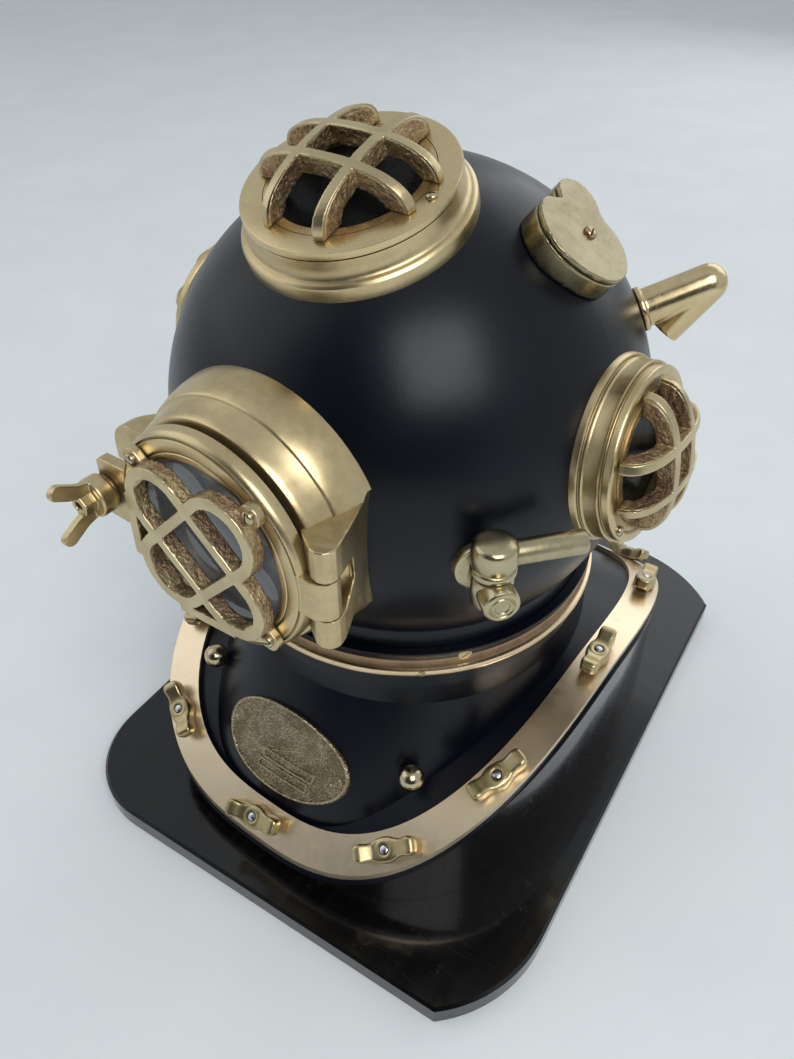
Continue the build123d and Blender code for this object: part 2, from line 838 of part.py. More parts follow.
windowGlassFoot = windowGlassSeat + seatGap
windowGlassTop = windowGlassFoot + windowGlassThickness
for name, plane, share, offsets in windows:
    glassRadius = windowGlassRadius * share - seatGap
    glass = disc(glassRadius, windowGlassFoot, windowGlassTop)
    retainer = ring(glassRadius, windowRingBore * share, windowGlassTop + seatGap, windowFaceOut)
    save(plane.location * windowBody(share), name + "_window")
    save(plane.location * glass, name + "_glass")
    save(plane.location * retainer, name + "_retainer")
    save(plane.location * windowGuard(share, offsets), name + "_guard")


# Kidney-shaped cup with its flat lid
def cupOutline(size):
    points = [(size * x, size * y) for x, y in cupOutlineShares]
    notch = (size * cupNotchShare[0], size * cupNotchShare[1])
    return make_face([Line(notch, points[0]), Spline(points), Line(points[-1], notch)])


def cupBody():
    lidFoot = cupLidOut - cupLidThickness - seatGap
    outer = Pos(0, 0, domeRadius / 2) * extrude(cupOutline(cupHalfSize), lidFoot - domeRadius / 2)
    pocket = Pos(0, 0, domeRadius + seatGap + cupFloor) * extrude(cupOutline(cupHalfSize - cupWall), overrun)
    return outer - pocket - domeSeat


def cupLid():
    return Pos(0, 0, cupLidOut - cupLidThickness) * extrude(cupOutline(cupHalfSize), cupLidThickness)


cupScrew = disc(cupScrewRadius, cupLidOut, cupLidOut + cupScrewHeight)
save(cupPlane.location * cupBody(), "cup_body")
save(cupPlane.location * cupLid(), "cup_lid")
save(cupPlane.location * cupScrew, "cup_screw")


# Elbow tubes that fold back sharply at a ball corner
def elbowTube():
    corner = Pos(0, 0, elbowOut)
    fold = corner * Rot(elbowFold, 0, 0)
    tube = disc(elbowRadius, domeRadius / 2, elbowOut) + corner * Sphere(elbowRadius)
    tube = tube + fold * disc(elbowRadius, 0, elbowDrop)
    tube = tube + disc(elbowFlangeRadius, domeRadius / 2, domeRadius + elbowFlangeThickness)
    hollow = disc(elbowBore, 0, elbowOut) + corner * Sphere(elbowBore) + fold * disc(elbowBore, 0, overrun)
    return tube - hollow - domeSeat


for name, plane in elbowPlanes.items():
    save(plane.location * elbowTube(), name + "_elbow")


# Tap at the front left, in its own frame: x runs back along the dome, y is up, z is out
def tapBody():
    shape = disc(tapFlangeRadius, domeRadius / 2, domeRadius + tapFlangeThickness)
    shape = Pos(0, -tapBarrelDrop, 0) * (shape + disc(tapBarrelRadius, domeRadius / 2, tapOut))
    shape = shape + upright(tapBodyRadius, 0, tapOut, tapBodyBottom, tapBodyTop)
    plug = disc(tapPlugRadius, tapOut, tapOut + tapBodyRadius + tapPlugThickness)
    shape = shape + Pos(0, -tapPlugDrop, 0) * plug
    shape = shape - upright(tapStemRadius + runningGap, 0, tapOut, tapBodyTop - tapStemLength - seatGap, overrun)
    return shape - domeSeat


def tapNut():
    hexagon = extrude(RegularPolygon(tapHexAcross / 2, 6, major_radius=False), tapHexLength)
    return Pos(0, tapBodyBottom - seatGap, tapOut) * Rot(90, 0, 0) * hexagon


def tapLever():
    low = tapBodyTop + seatGap
    cap = upright(tapCapRadius, 0, tapOut, low, low + tapCapHeight)
    crown = cap.faces().sort_by(Axis.Y)[-1].edges()
    cap = fillet(crown, tapCapRadius / 2)
    cap = cap + upright(tapStemRadius, 0, tapOut, tapBodyTop - tapStemLength, low)
    arm = Rot(0, 90, 0) * disc(tapArmRadius, 0, tapArmLength)
    arm = arm + Rot(0, 90, 0) * disc(tapArmCollarRadius, tapArmStart, tapArmStart + tapArmCollarLength)
    return cap + Pos(0, tapArmHeight, tapOut) * arm


save(tapPlane.location * tapBody(), "tap_body")
save(tapPlane.location * tapNut(), "tap_nut")
save(tapPlane.location * tapLever(), "tap_lever")


# Exhaust valve at the back right
def valveBody():
    shape = disc(valveFlangeRadius, domeRadius / 2, domeRadius + valveFlangeThickness)
    shape = shape + disc(valveBodyRadius, domeRadius / 2, valveBodyOut)
    shape = shape - disc(valveStemRadius + runningGap, valveBodyOut - valveStemLength - seatGap, overrun)
    return shape - domeSeat


def valveWheel():
    low = valveBodyOut + seatGap
    wheel = disc(valveWheelRadius, low, low + valveWheelThickness)
    for i in range(valveLobes):
        notch = Pos(valveWheelRadius + valveLobeRadius / 2, 0, 0) * disc(valveLobeRadius, 0, overrun)
        wheel = wheel - Rot(0, 0, 360 * i / valveLobes) * notch
    return wheel + disc(valveStemRadius, valveBodyOut - valveStemLength, low)


save(valvePlane.location * valveBody(), "valve_body")
save(valvePlane.location * valveWheel(), "valve_wheel")
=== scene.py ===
import bpy
import bmesh
import json
import math
from mathutils import Matrix, Vector, noise
from mathutils.bvhtree import BVHTree


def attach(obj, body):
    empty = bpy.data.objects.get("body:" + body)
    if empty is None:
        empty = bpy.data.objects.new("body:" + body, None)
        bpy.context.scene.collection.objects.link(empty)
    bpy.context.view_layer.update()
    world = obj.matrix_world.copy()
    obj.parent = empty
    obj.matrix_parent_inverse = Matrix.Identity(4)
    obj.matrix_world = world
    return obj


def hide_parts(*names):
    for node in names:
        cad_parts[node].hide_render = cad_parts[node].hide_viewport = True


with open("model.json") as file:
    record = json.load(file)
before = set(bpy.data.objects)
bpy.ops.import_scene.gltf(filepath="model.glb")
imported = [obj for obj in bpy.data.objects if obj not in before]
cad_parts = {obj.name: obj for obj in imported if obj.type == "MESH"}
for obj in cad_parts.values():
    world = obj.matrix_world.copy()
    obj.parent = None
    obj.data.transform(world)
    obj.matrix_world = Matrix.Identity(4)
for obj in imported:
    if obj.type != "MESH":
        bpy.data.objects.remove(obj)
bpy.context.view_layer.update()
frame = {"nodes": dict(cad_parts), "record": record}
nodes = frame["nodes"]
mm = 0.001
domeBack, domeHeight = -33, 293  # the dome's centre, in millimetres
domeCentre = Vector((0, domeBack * mm, domeHeight * mm))


def outward(a, e):  # side and outward directions for an azimuth and elevation in radians
    out = Vector((math.sin(a) * math.cos(e), -math.cos(a) * math.cos(e), math.sin(e)))
    return Vector((math.cos(a), math.sin(a), 0)), out


def aimed(azimuth, elevation):  # frame at the dome's centre, z pointing out
    side, out = outward(math.radians(azimuth), math.radians(elevation))
    return Matrix.Translation(domeCentre) @ Matrix((side, out.cross(side), out)).transposed().to_4x4()


frontFrame = aimed(0, 0)
topFrame = aimed(0, 71)
leftFrame = aimed(90, 8)
rightFrame = aimed(-90, 8)
cupFrame = aimed(95, 51)
tapFrame = aimed(50, 0)
neckFrame = Matrix.Translation((0, domeBack * mm, 0))


# Shader maths: a board holds a node tree, a wire is one socket on it
class Board:
    def __init__(self, tree):
        self.tree = tree

    def feed(self, slot, value):
        if isinstance(value, Wire):
            self.tree.links.new(value.out, slot)
        elif isinstance(value, tuple) and len(value) == 3 and slot.type == "RGBA":
            slot.default_value = (*value, 1)
        else:
            slot.default_value = value

    def make(self, kind, settings, sockets, out=0):  # any node: its settings first, then its sockets
        node = self.tree.nodes.new(kind)
        for key, value in settings.items():
            setattr(node, key, value)
        for key, value in sockets.items():
            self.feed(node.inputs[key], value)
        return Wire(self, node.outputs[out])


class Wire:
    def __init__(self, board, out):
        self.board = board
        self.out = out

    def maths(self, operation, *values):
        return self.board.make("ShaderNodeMath", {"operation": operation}, dict(enumerate(values)))

    def __add__(self, other):
        return self.maths("ADD", self, other)

    def __radd__(self, other):
        return self.maths("ADD", other, self)

    def __sub__(self, other):
        return self.maths("SUBTRACT", self, other)

    def __rsub__(self, other):
        return self.maths("SUBTRACT", other, self)

    def __mul__(self, other):
        return self.maths("MULTIPLY", self, other)

    def __rmul__(self, other):
        return self.maths("MULTIPLY", other, self)

    def __truediv__(self, other):
        return self.maths("DIVIDE", self, other)

    def __pow__(self, other):
        return self.maths("POWER", self, other)

    def atLeast(self, other):
        return self.maths("MAXIMUM", self, other)

    def atMost(self, other):
        return self.maths("MINIMUM", self, other)

    def step(self, low, high):  # smooth ramp from 0 at low to 1 at high
        sockets = {"Value": self, "From Min": low, "From Max": high}
        return self.board.make("ShaderNodeMapRange", {"interpolation_type": "SMOOTHSTEP"}, sockets)


class Finish(Board):
    def __init__(self, name, surface):
        self.material = bpy.data.materials.new(name)
        self.material.use_nodes = True
        super().__init__(self.material.node_tree)
        self.tree.nodes.clear()
        self.shader = self.tree.nodes.new("ShaderNodeBsdfPrincipled")
        output = self.tree.nodes.new("ShaderNodeOutputMaterial")
        self.tree.links.new(self.shader.outputs[0], output.inputs[0])
        self.place = self.make("ShaderNodeTexCoord", {}, {}, "Object")
        self.set(surface)

    def set(self, surface):
        for key, value in surface.items():
            self.feed(self.shader.inputs[key], value)

    def stretched(self, x, y, z):
        return self.make("ShaderNodeMapping", {}, {"Vector": self.place, "Scale": (x, y, z)})

    def noise(self, size, detail=3, rough=0.5, where=None, twist=0.0):  # size in millimetres
        sockets = {"Vector": where or self.place, "Scale": 1 / (size * mm), "Detail": detail}
        return self.make("ShaderNodeTexNoise", {}, {**sockets, "Roughness": rough, "Distortion": twist})

    def cells(self, size):
        return self.make("ShaderNodeTexVoronoi", {}, {"Vector": self.place, "Scale": 1 / (size * mm)})

    def mix(self, share, a, b):
        return self.make("ShaderNodeMix", {"data_type": "RGBA"}, {0: share, 6: a, 7: b}, 2)

    def hollow(self, reach):  # 0 in tight corners, 1 in the open
        return self.make("ShaderNodeAmbientOcclusion", {"samples": 4}, {"Distance": reach * mm}, "AO")

    def edge(self):  # 0.5 on flat metal, more along outer edges
        return self.make("ShaderNodeNewGeometry", {}, {}, "Pointiness")

    def along(self, where, axis):  # distance along a frame's axis from its origin, in metres
        run = where.col[axis].xyz
        vectors = {0: self.place, 1: run}
        dot = self.make("ShaderNodeVectorMath", {"operation": "DOT_PRODUCT"}, vectors, "Value")
        return dot - where.translation.dot(run)

    def bump(self, height, depth, strength, under=None):  # depth in millimetres
        sockets = {"Height": height, "Distance": depth * mm, "Strength": strength}
        if under:
            sockets["Normal"] = under
        return self.make("ShaderNodeBump", {}, sockets)


print("materials")


def tinted(colour, *shares):
    return tuple(c * share for c, share in zip(colour, shares))


def brass(name, light, dark, shine, cornerShade, grain, pitted=0.0):
    f = Finish(name, {"Metallic": 1.0})
    cloud = f.noise(38, 4, 0.55, twist=0.6)
    fine = f.noise(5, 5, 0.6)
    streak = f.noise(3.2, 3, 0.6, f.stretched(1, 1, 0.12))
    stain = f.noise(13, 5, 0.65, twist=1.2).step(0.54, 0.72)
    corner = 1 - f.hollow(5).step(0.25, 0.85)
    worn = f.edge().step(0.505, 0.56)
    colour = f.mix((cloud * 0.65 + fine * 0.35).step(0.36, 0.62), dark, light)
    colour = f.mix(stain * 0.22, colour, tinted(dark, 0.72, 0.62, 0.5))
    # painted shade: the colour darkens in tight corners, from an ambient occlusion mask
    colour = f.mix(corner * cornerShade, colour, (0.045, 0.03, 0.018))
    colour = f.mix(worn * 0.5, colour, tinted(light, 1.15, 1.13, 1.1))
    rough = shine + stain * 0.07 + corner * 0.25 + (fine - 0.5) * 0.12 + (streak - 0.5) * 0.08 - worn * 0.05
    normal = f.bump(f.noise(24, 2, 0.5), 0.35, 0.5)
    normal = f.bump(fine, 0.1, grain, normal)
    if pitted:
        pits = f.noise(1.4, 3, 0.6).step(0.62, 0.8) * stain
        normal = f.bump(1 - pits, 0.12, pitted, normal)
    f.set({"Base Color": colour, "Roughness": rough.atLeast(0.08).atMost(0.9), "Normal": normal})
    return f.material


# Light and dark colour, roughness, painted shade in the corners, grain, pits
castBrass = brass("cast_brass", (0.64, 0.52, 0.30), (0.52, 0.41, 0.225), 0.33, 0.6, 0.2)
nutBrass = brass("nut_brass", (0.56, 0.46, 0.26), (0.42, 0.335, 0.175), 0.32, 0.7, 0.25, 0.25)
paleBrass = brass("tap_brass", (0.52, 0.45, 0.29), (0.42, 0.36, 0.22), 0.27, 0.55, 0.1)
cupBrass = brass("cup_brass", (0.36, 0.31, 0.195), (0.26, 0.215, 0.125), 0.26, 0.55, 0.12)
tubeBrass = brass("tube_brass", (0.70, 0.57, 0.34), (0.60, 0.47, 0.26), 0.22, 0.5, 0.1)
ringBrass = brass("ring_brass", (0.78, 0.62, 0.41), (0.62, 0.47, 0.29), 0.25, 0.6, 0.15)
strapBrass = brass("strap_brass", (0.85, 0.70, 0.50), (0.80, 0.645, 0.45), 0.36, 0.15, 0.02)
bandBrass = brass("band_brass", (0.36, 0.24, 0.14), (0.20, 0.125, 0.075), 0.4, 0.7, 0.5)
ballBrass = brass("ball_brass", (0.60, 0.52, 0.34), (0.44, 0.36, 0.21), 0.17, 0.5, 0.1)
copperBrass = brass("copper_brass", (0.52, 0.36, 0.23), (0.38, 0.24, 0.14), 0.3, 0.8, 0.3)

fullness = 2.4  # power of the guards' domed outline: 2 is an ellipse


def guardFinish(name, where, dome=None):  # polished tops over rough cast sides
    f = Finish(name, {"Metallic": 1.0})
    across, up, out = (f.along(where, axis) for axis in range(3))
    square = across ** 2.0 + up ** 2.0
    if dome:
        reach, foot, rise = (v * mm for v in dome)
        shell = square ** (fullness / 2) / reach ** fullness + ((out - foot) / rise).atLeast(0.0) ** fullness
        top = shell.step(0.86, 0.92)
    else:  # the front face, and the screw tabs past 52 mm
        top = out.step(0.1808, 0.1812).atLeast(square.step(0.00272, 0.00278))
    cloud = f.noise(30, 4, 0.55, twist=0.6)
    fine = f.noise(4, 4, 0.6)
    lump = f.noise(2.6, 5, 0.62)
    grain = f.noise(0.9, 4, 0.65)
    polished = f.mix(cloud.step(0.36, 0.62), (0.51, 0.41, 0.24), (0.63, 0.52, 0.31))
    side = f.mix(f.noise(15, 3).step(0.4, 0.6), (0.36, 0.235, 0.15), (0.52, 0.40, 0.23))
    side = f.mix(grain.step(0.48, 0.7) * 0.7, side, (0.85, 0.72, 0.47))
    # painted shade: the rough sides darken in the hollows between the bars, from an ambient occlusion mask
    side = f.mix((1 - f.hollow(9).step(0.1, 0.75)) * 0.6, side, (0.06, 0.035, 0.025))
    normal = f.bump(lump * (1 - top), 0.9, 0.9)
    normal = f.bump(grain * (1 - top), 0.45, 1.0, normal)
    normal = f.bump(fine, 0.05, 0.3, normal)
    rough = 0.42 - top * 0.11 + (fine - 0.5) * 0.12 + (grain - 0.5) * 0.15 * (1 - top)
    f.set({"Base Color": f.mix(top, side, polished), "Roughness": rough.atLeast(0.1), "Normal": normal})
    return f.material


def enamel():
    f = Finish("dark_enamel", {"Specular IOR Level": 0.3})
    cloud = f.noise(90, 4, 0.55)
    colour = f.mix(cloud.step(0.35, 0.65), (0.0012, 0.0022, 0.0055), (0.0026, 0.0038, 0.009))
    dust = f.noise(1.6, 2, 0.5).step(0.74, 0.8) * f.noise(28, 3).step(0.5, 0.7)
    colour = f.mix(dust * 0.35, colour, (0.16, 0.17, 0.18))
    rub = f.noise(17, 5, 0.6, twist=0.8)
    normal = f.bump(f.noise(60, 2, 0.4), 0.5, 0.35)
    normal = f.bump(f.noise(2.6, 2, 0.5), 0.07, 0.5, normal)  # orange peel
    f.set({"Base Color": colour, "Roughness": 0.31 + (rub - 0.5) * 0.1 + dust * 0.2, "Normal": normal})
    return f.material


def lacquer():
    f = Finish("stand_lacquer", {"Specular IOR Level": 0.35, "Coat Roughness": 0.06, "Coat IOR": 1.5})
    grain = f.noise(5, 4, 0.6, f.stretched(1, 0.08, 1))
    colour = f.mix(grain.step(0.35, 0.7), (0.0025, 0.0025, 0.0032), (0.006, 0.0054, 0.0058))
    edge = 1 - f.hollow(4).step(0.3, 0.95)
    scuff = f.noise(9, 5, 0.7).step(0.6, 0.72)
    colour = f.mix(scuff * 0.35, colour, (0.035, 0.022, 0.017))
    dust = f.noise(1.2, 2, 0.5).step(0.75, 0.8) * f.noise(24, 3).step(0.48, 0.66)
    colour = f.mix(dust * 0.5, colour, (0.20, 0.20, 0.20))
    hair = f.noise(2.2, 2, 0.5, f.stretched(0.12, 1, 1)).step(0.66, 0.7)
    normal = f.bump(f.noise(46, 2, 0.4), 0.6, 0.35)
    normal = f.bump(grain, 0.06, 0.3, normal)
    normal = f.bump(f.noise(2.4, 2, 0.5), 0.03, 0.25, normal)
    rough = 0.17 + (f.noise(22, 4) - 0.5) * 0.16 + scuff * 0.2 + hair * 0.12 + dust * 0.3 + edge * 0.1
    f.set({"Base Color": colour, "Roughness": rough.atLeast(0.05), "Normal": normal})
    f.set({"Coat Weight": 0.35 - scuff * 0.2})
    return f.material


def steel():
    f = Finish("stud_steel", {"Metallic": 1.0})
    spin = f.noise(1.1, 3, 0.6)
    colour = f.mix(f.noise(6, 3), (0.50, 0.51, 0.53), (0.74, 0.76, 0.79))
    f.set({"Base Color": colour, "Roughness": 0.16 + spin * 0.16, "Normal": f.bump(spin, 0.04, 0.4)})
    return f.material


def glass(name, low, high, alpha, gloss, blur):
    f = Finish(name, {"IOR": 1.48, "Metallic": 0.0, "Specular IOR Level": gloss})
    haze = f.noise(60, 3, 0.5)
    dust = f.noise(1.5, 2).step(0.72, 0.8)
    f.set({"Base Color": f.mix(haze, low, high), "Roughness": blur + haze * 0.05 + dust * 0.2})
    f.set({"Alpha": alpha + haze * 0.08 + dust * 0.05, "Normal": f.bump(haze, 0.02, 0.05)})
    return f.material


def soft(name, low, high, size, rough):
    f = Finish(name, {"Specular IOR Level": 0.4})
    grain = f.noise(size, 5, 0.6)
    crease = f.cells(size * 1.6)
    f.set({"Base Color": f.mix(grain, low, high), "Roughness": rough + (grain - 0.5) * 0.2})
    f.set({"Normal": f.bump(grain + crease, 0.15, 0.6)})
    return f.material


def stippled():
    f = Finish("plate_brass", {"Metallic": 1.0})
    seeds = f.cells(1.5)
    lumps = f.noise(1.1, 3, 0.6)
    cloud = f.noise(15, 4, 0.6, twist=0.7)
    colour = f.mix(cloud.step(0.38, 0.62), (0.27, 0.215, 0.135), (0.42, 0.35, 0.235))
    colour = f.mix((1 - seeds * 1.5).atLeast(0.0) * 0.75, colour, (0.09, 0.06, 0.035))
    worn = f.edge().step(0.505, 0.54)
    colour = f.mix(worn * 0.6, colour, (0.62, 0.52, 0.34))
    normal = f.bump(seeds, 0.8, 1.0)
    normal = f.bump(lumps, 0.2, 0.6, normal)
    f.set({"Base Color": colour, "Roughness": 0.34 + (lumps - 0.5) * 0.3, "Normal": normal})
    return f.material


darkEnamel = enamel()
# the door glass's light grey colour is a painted reflection, on glass that also reflects for real
paleGlass = glass("pale_glass", (0.18, 0.195, 0.21), (0.25, 0.265, 0.28), 0.8, 0.9, 0.03)
studSteel = steel()
plateBrass = stippled()
slots = {
    "stand_lacquer": lacquer(), "dark_enamel": darkEnamel, "strap_brass": strapBrass,
    "cast_brass": castBrass, "guard_brass": castBrass, "plate_brass": plateBrass, "stud_steel": studSteel,
    # near-black window glass: painted shade standing in for the dark inside of the helmet
    "port_glass": glass("port_glass", (0.004, 0.0045, 0.005), (0.008, 0.009, 0.01), 0.6, 0.12, 0.2),
    "gasket_rubber": soft("gasket_rubber", (0.012, 0.011, 0.011), (0.03, 0.027, 0.026), 2.4, 0.7),
    "gasket_leather": soft("gasket_leather", (0.055, 0.03, 0.018), (0.12, 0.07, 0.04), 1.8, 0.65),
}


# Mesh code shared by the pieces; lengths in millimetres in the piece's own frame
def rounded(points, steps):  # (x, y, radius) corners to a polyline with arcs at the corners
    line = []
    count = len(points)
    for i, (x, y, radius) in enumerate(points):
        here = Vector((x, y))
        back = Vector(points[i - 1][:2]) - here
        on = Vector(points[(i + 1) % count][:2]) - here
        if radius <= 0:
            line.append((x, y))
            continue
        half = back.angle(on) / 2
        reach = min(radius / math.tan(half), back.length * 0.49, on.length * 0.49)
        radius = reach * math.tan(half)
        start, end = here + back.normalized() * reach, here + on.normalized() * reach
        inward = (back.normalized() + on.normalized()).normalized()
        middle = here + inward * radius / math.sin(half)
        a, b = start - middle, end - middle
        turn = math.atan2(a.x * b.y - a.y * b.x, a.dot(b))
        for k in range(steps + 1):
            c, s = math.cos(turn * k / steps), math.sin(turn * k / steps)
            line.append((middle.x + a.x * c - a.y * s, middle.y + a.x * s + a.y * c))
    return line


def lathe(profile, around):  # closed (r, z) loop turned about z
    mesh = bmesh.new()
    rows = []
    for i in range(around):
        c, s = math.cos(math.tau * i / around), math.sin(math.tau * i / around)
        rows.append([mesh.verts.new((r * c, r * s, z)) for r, z in profile])
    count = len(profile)
    for i in range(around):
        a, b = rows[i], rows[(i + 1) % around]
        for k in range(count):
            n = (k + 1) % count
            if profile[k][0] or profile[n][0]:  # no faces along the axis
                mesh.faces.new((a[k], b[k], b[n], a[n]))
    bmesh.ops.remove_doubles(mesh, verts=mesh.verts, dist=1e-5)
    bmesh.ops.recalc_face_normals(mesh, faces=mesh.faces)
    return mesh


def sweep(stations, closed=False):  # rows of points joined into a skin, capped when it is open
    mesh = bmesh.new()
    rows = [[mesh.verts.new(p) for p in row] for row in stations]
    count = len(rows[0])
    for i in range(len(rows) if closed else len(rows) - 1):
        a, b = rows[i], rows[(i + 1) % len(rows)]
        for k in range(count):
            n = (k + 1) % count
            mesh.faces.new((a[k], a[n], b[n], b[k]))
    if not closed:
        mesh.faces.new(rows[0])
        mesh.faces.new(list(reversed(rows[-1])))
    bmesh.ops.recalc_face_normals(mesh, faces=mesh.faces)
    return mesh


def prism(outline, low, high, width=0.0):  # width rounds its sharp edges
    mesh = bmesh.new()
    bottom = [mesh.verts.new((x, y, low)) for x, y in outline]
    top = [mesh.verts.new((x, y, high)) for x, y in outline]
    count = len(outline)
    for i in range(count):
        n = (i + 1) % count
        mesh.faces.new((bottom[i], bottom[n], top[n], top[i]))
    mesh.faces.new(list(reversed(bottom)))
    mesh.faces.new(top)
    bmesh.ops.recalc_face_normals(mesh, faces=mesh.faces)
    if width:
        sharp = [e for e in mesh.edges if e.calc_face_angle(0) > math.radians(28)]
        settings = {"offset": width, "segments": 3, "profile": 0.5, "affect": "EDGES", "clamp_overlap": True}
        bmesh.ops.bevel(mesh, geom=sharp, **settings)
    return mesh


def roundedBox(x0, x1, y0, y1, radius):
    return rounded([(x0, y0, radius), (x1, y0, radius), (x1, y1, radius), (x0, y1, radius)], 3)


def slab(x0, x1, y0, y1, z0, z1):
    return prism([(x0, y0), (x1, y0), (x1, y1), (x0, y1)], z0, z1)


def circle(radius, x=0.0, y=0.0, count=48, start=0, end=360):
    steps = count if end - start == 360 else count - 1
    angles = [math.radians(start + (end - start) * k / steps) for k in range(count)]
    return [(x + radius * math.cos(t), y + radius * math.sin(t)) for t in angles]


def hexagon(radius, turn=0):
    angles = [math.radians(60 * k + turn) for k in range(6)]
    return [(radius * math.cos(t), radius * math.sin(t)) for t in angles]


def turnTo(axis, angle):
    return Matrix.Rotation(math.radians(angle), 4, axis)


def shift(x, y, z):
    return Matrix.Translation((x, y, z))


def moved(mesh, matrix):
    bmesh.ops.transform(mesh, matrix=matrix, verts=mesh.verts)
    return mesh


def joined(parts):  # several bmeshes in one mesh
    whole = bmesh.new()
    for part in parts:
        loose = bpy.data.meshes.new("loose")
        part.to_mesh(loose)
        part.free()
        whole.from_mesh(loose)
        bpy.data.meshes.remove(loose)
    mesh = bpy.data.meshes.new("piece")
    whole.to_mesh(mesh)
    whole.free()
    return mesh


def shown(*parts):
    holder = bpy.data.objects.new("loose", joined(parts))
    bpy.context.scene.collection.objects.link(holder)
    return holder


def settled(holder):  # a loose object's mesh with its modifiers applied
    bpy.context.view_layer.update()
    made = bpy.data.meshes.new_from_object(holder.evaluated_get(bpy.context.evaluated_depsgraph_get()))
    mesh = bmesh.new()
    mesh.from_mesh(made)
    bpy.data.meshes.remove(made)
    bpy.data.objects.remove(holder)
    return mesh


def cut(mesh, *tools, keepInside=False):
    holder = shown(mesh)
    loose = [shown(tool) for tool in tools]
    for tool in loose:
        bite = holder.modifiers.new("bite", "BOOLEAN")
        bite.object = tool
        bite.operation = "INTERSECT" if keepInside else "DIFFERENCE"
        bite.solver = "EXACT"
    mesh = settled(holder)
    for tool in loose:
        bpy.data.objects.remove(tool)
    return mesh


def growSkin(holder, size, rounds):  # one skin over all that overlaps, with soft cast edges
    skin = holder.modifiers.new("skin", "REMESH")
    skin.mode = "VOXEL"
    skin.voxel_size = size
    skin.use_smooth_shade = True
    soften = holder.modifiers.new("soften", "SMOOTH")
    soften.factor = 0.5
    soften.iterations = rounds


def cast(parts, size=0.5, rounds=5):  # voxel size and rounds of smoothing
    holder = shown(*parts)
    growSkin(holder, size, rounds)
    return settled(holder)


headShape = {"rim": 0.35, "power": 0.7, "slotFloor": 0.45}  # rim and floor in shares of a head's height


def screwHead(x, y, z, radius, height, slotWidth, slotTurn=30):  # round head with a sawn slot
    rim = height * headShape["rim"]
    profile = [(0, 0), (radius, 0)]
    for k in range(5):
        t = math.radians(18 * k)
        profile.append((radius * math.cos(t) ** headShape["power"], rim + (height - rim) * math.sin(t)))
    profile.append((0, height))
    half, wide = slotWidth / 2, radius * 1.2
    groove = slab(-wide, wide, -half, half, height * headShape["slotFloor"], height * 2)
    groove = moved(groove, turnTo("Z", slotTurn))
    return moved(cut(lathe(profile, 24), groove), shift(x, y, z))


# A piece of the scene: stands are the nodes that it replaces, edges over the angle stay sharp
def finishMesh(name, parts, where, body, finish, stands, angle):
    mesh = joined(parts)
    mesh.transform(where @ Matrix.Scale(mm, 4))
    mesh.materials.append(finish)
    mesh.shade_smooth()
    mesh.set_sharp_from_angle(angle=math.radians(angle))
    piece = bpy.data.objects.new(name, mesh)
    bpy.context.scene.collection.objects.link(piece)
    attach(piece, body)
    if stands:
        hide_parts(*stands)


def keep(name, material):  # a CAD node that stays, with its finish
    piece = nodes[name]
    piece.data.materials.clear()
    piece.data.materials.append(material)
    for face in piece.data.polygons:
        face.material_index = 0


print("camera and light")
view = {  # metres and radians
    "lens": 39.13, "place": (0.2693, -0.4097, 0.5754), "azimuth": 0.638, "elevation": 0.697, "roll": -0.004,
}
camera = bpy.data.cameras.new("camera")
camera.sensor_fit = "HORIZONTAL"
camera.sensor_width = 36
camera.lens = view["lens"]
camera.clip_start = 0.01
eye = bpy.data.objects.new("camera", camera)
bpy.context.scene.collection.objects.link(eye)
bpy.context.scene.camera = eye
right, back = outward(view["azimuth"], view["elevation"])
roll = Matrix.Rotation(view["roll"], 4, "Z")
turned = Matrix((right, back.cross(right), back)).transposed().to_4x4() @ roll
eye.matrix_world = Matrix.Translation(view["place"]) @ turned


def floorFinish():
    f = Finish("studio_floor", {"Roughness": 0.85, "Specular IOR Level": 0.1})
    smear = f.noise(160, 5, 0.6)
    f.set({"Base Color": f.mix(smear.step(0.3, 0.7), (0.83, 0.865, 0.88), (0.87, 0.90, 0.91))})
    return f.material


ground = {"reach": 4, "height": -0.0004}  # metres; it lies just under the board
floorMesh = bmesh.new()
bmesh.ops.create_grid(floorMesh, x_segments=2, y_segments=2, size=ground["reach"])
floorData = bpy.data.meshes.new("floor")
floorMesh.to_mesh(floorData)
floorMesh.free()
floorData.materials.append(floorFinish())
floor = bpy.data.objects.new("floor", floorData)
floor.location.z = ground["height"]
bpy.context.scene.collection.objects.link(floor)

lamps = {  # place, target, width and height in metres, power in watts, colour
    "key": ((1.41, -1.08, 2.13), (0, 0, 0.25), (1.5, 1.5), 32, (0.98, 0.99, 1.0)),
    "fill": ((-2.0, -1.0, 1.7), (0, 0, 0.2), (2.2, 2.2), 8, (0.95, 0.975, 1.0)),
    "back": ((0.2, 2.3, 1.4), (0, 0, 0.25), (2.2, 1.8), 12, (0.96, 0.98, 1.0)),
}
for name, (place, target, (width, height), power, colour) in lamps.items():
    data = bpy.data.lights.new(name, "AREA")
    data.energy = power
    data.color = colour
    data.shape = "RECTANGLE"
    data.size = width
    data.size_y = height
    lamp = bpy.data.objects.new(name, data)
    lamp.location = place
    lamp.rotation_euler = (Vector(target) - Vector(place)).to_track_quat("-Z", "Y").to_euler()
    bpy.context.scene.collection.objects.link(lamp)

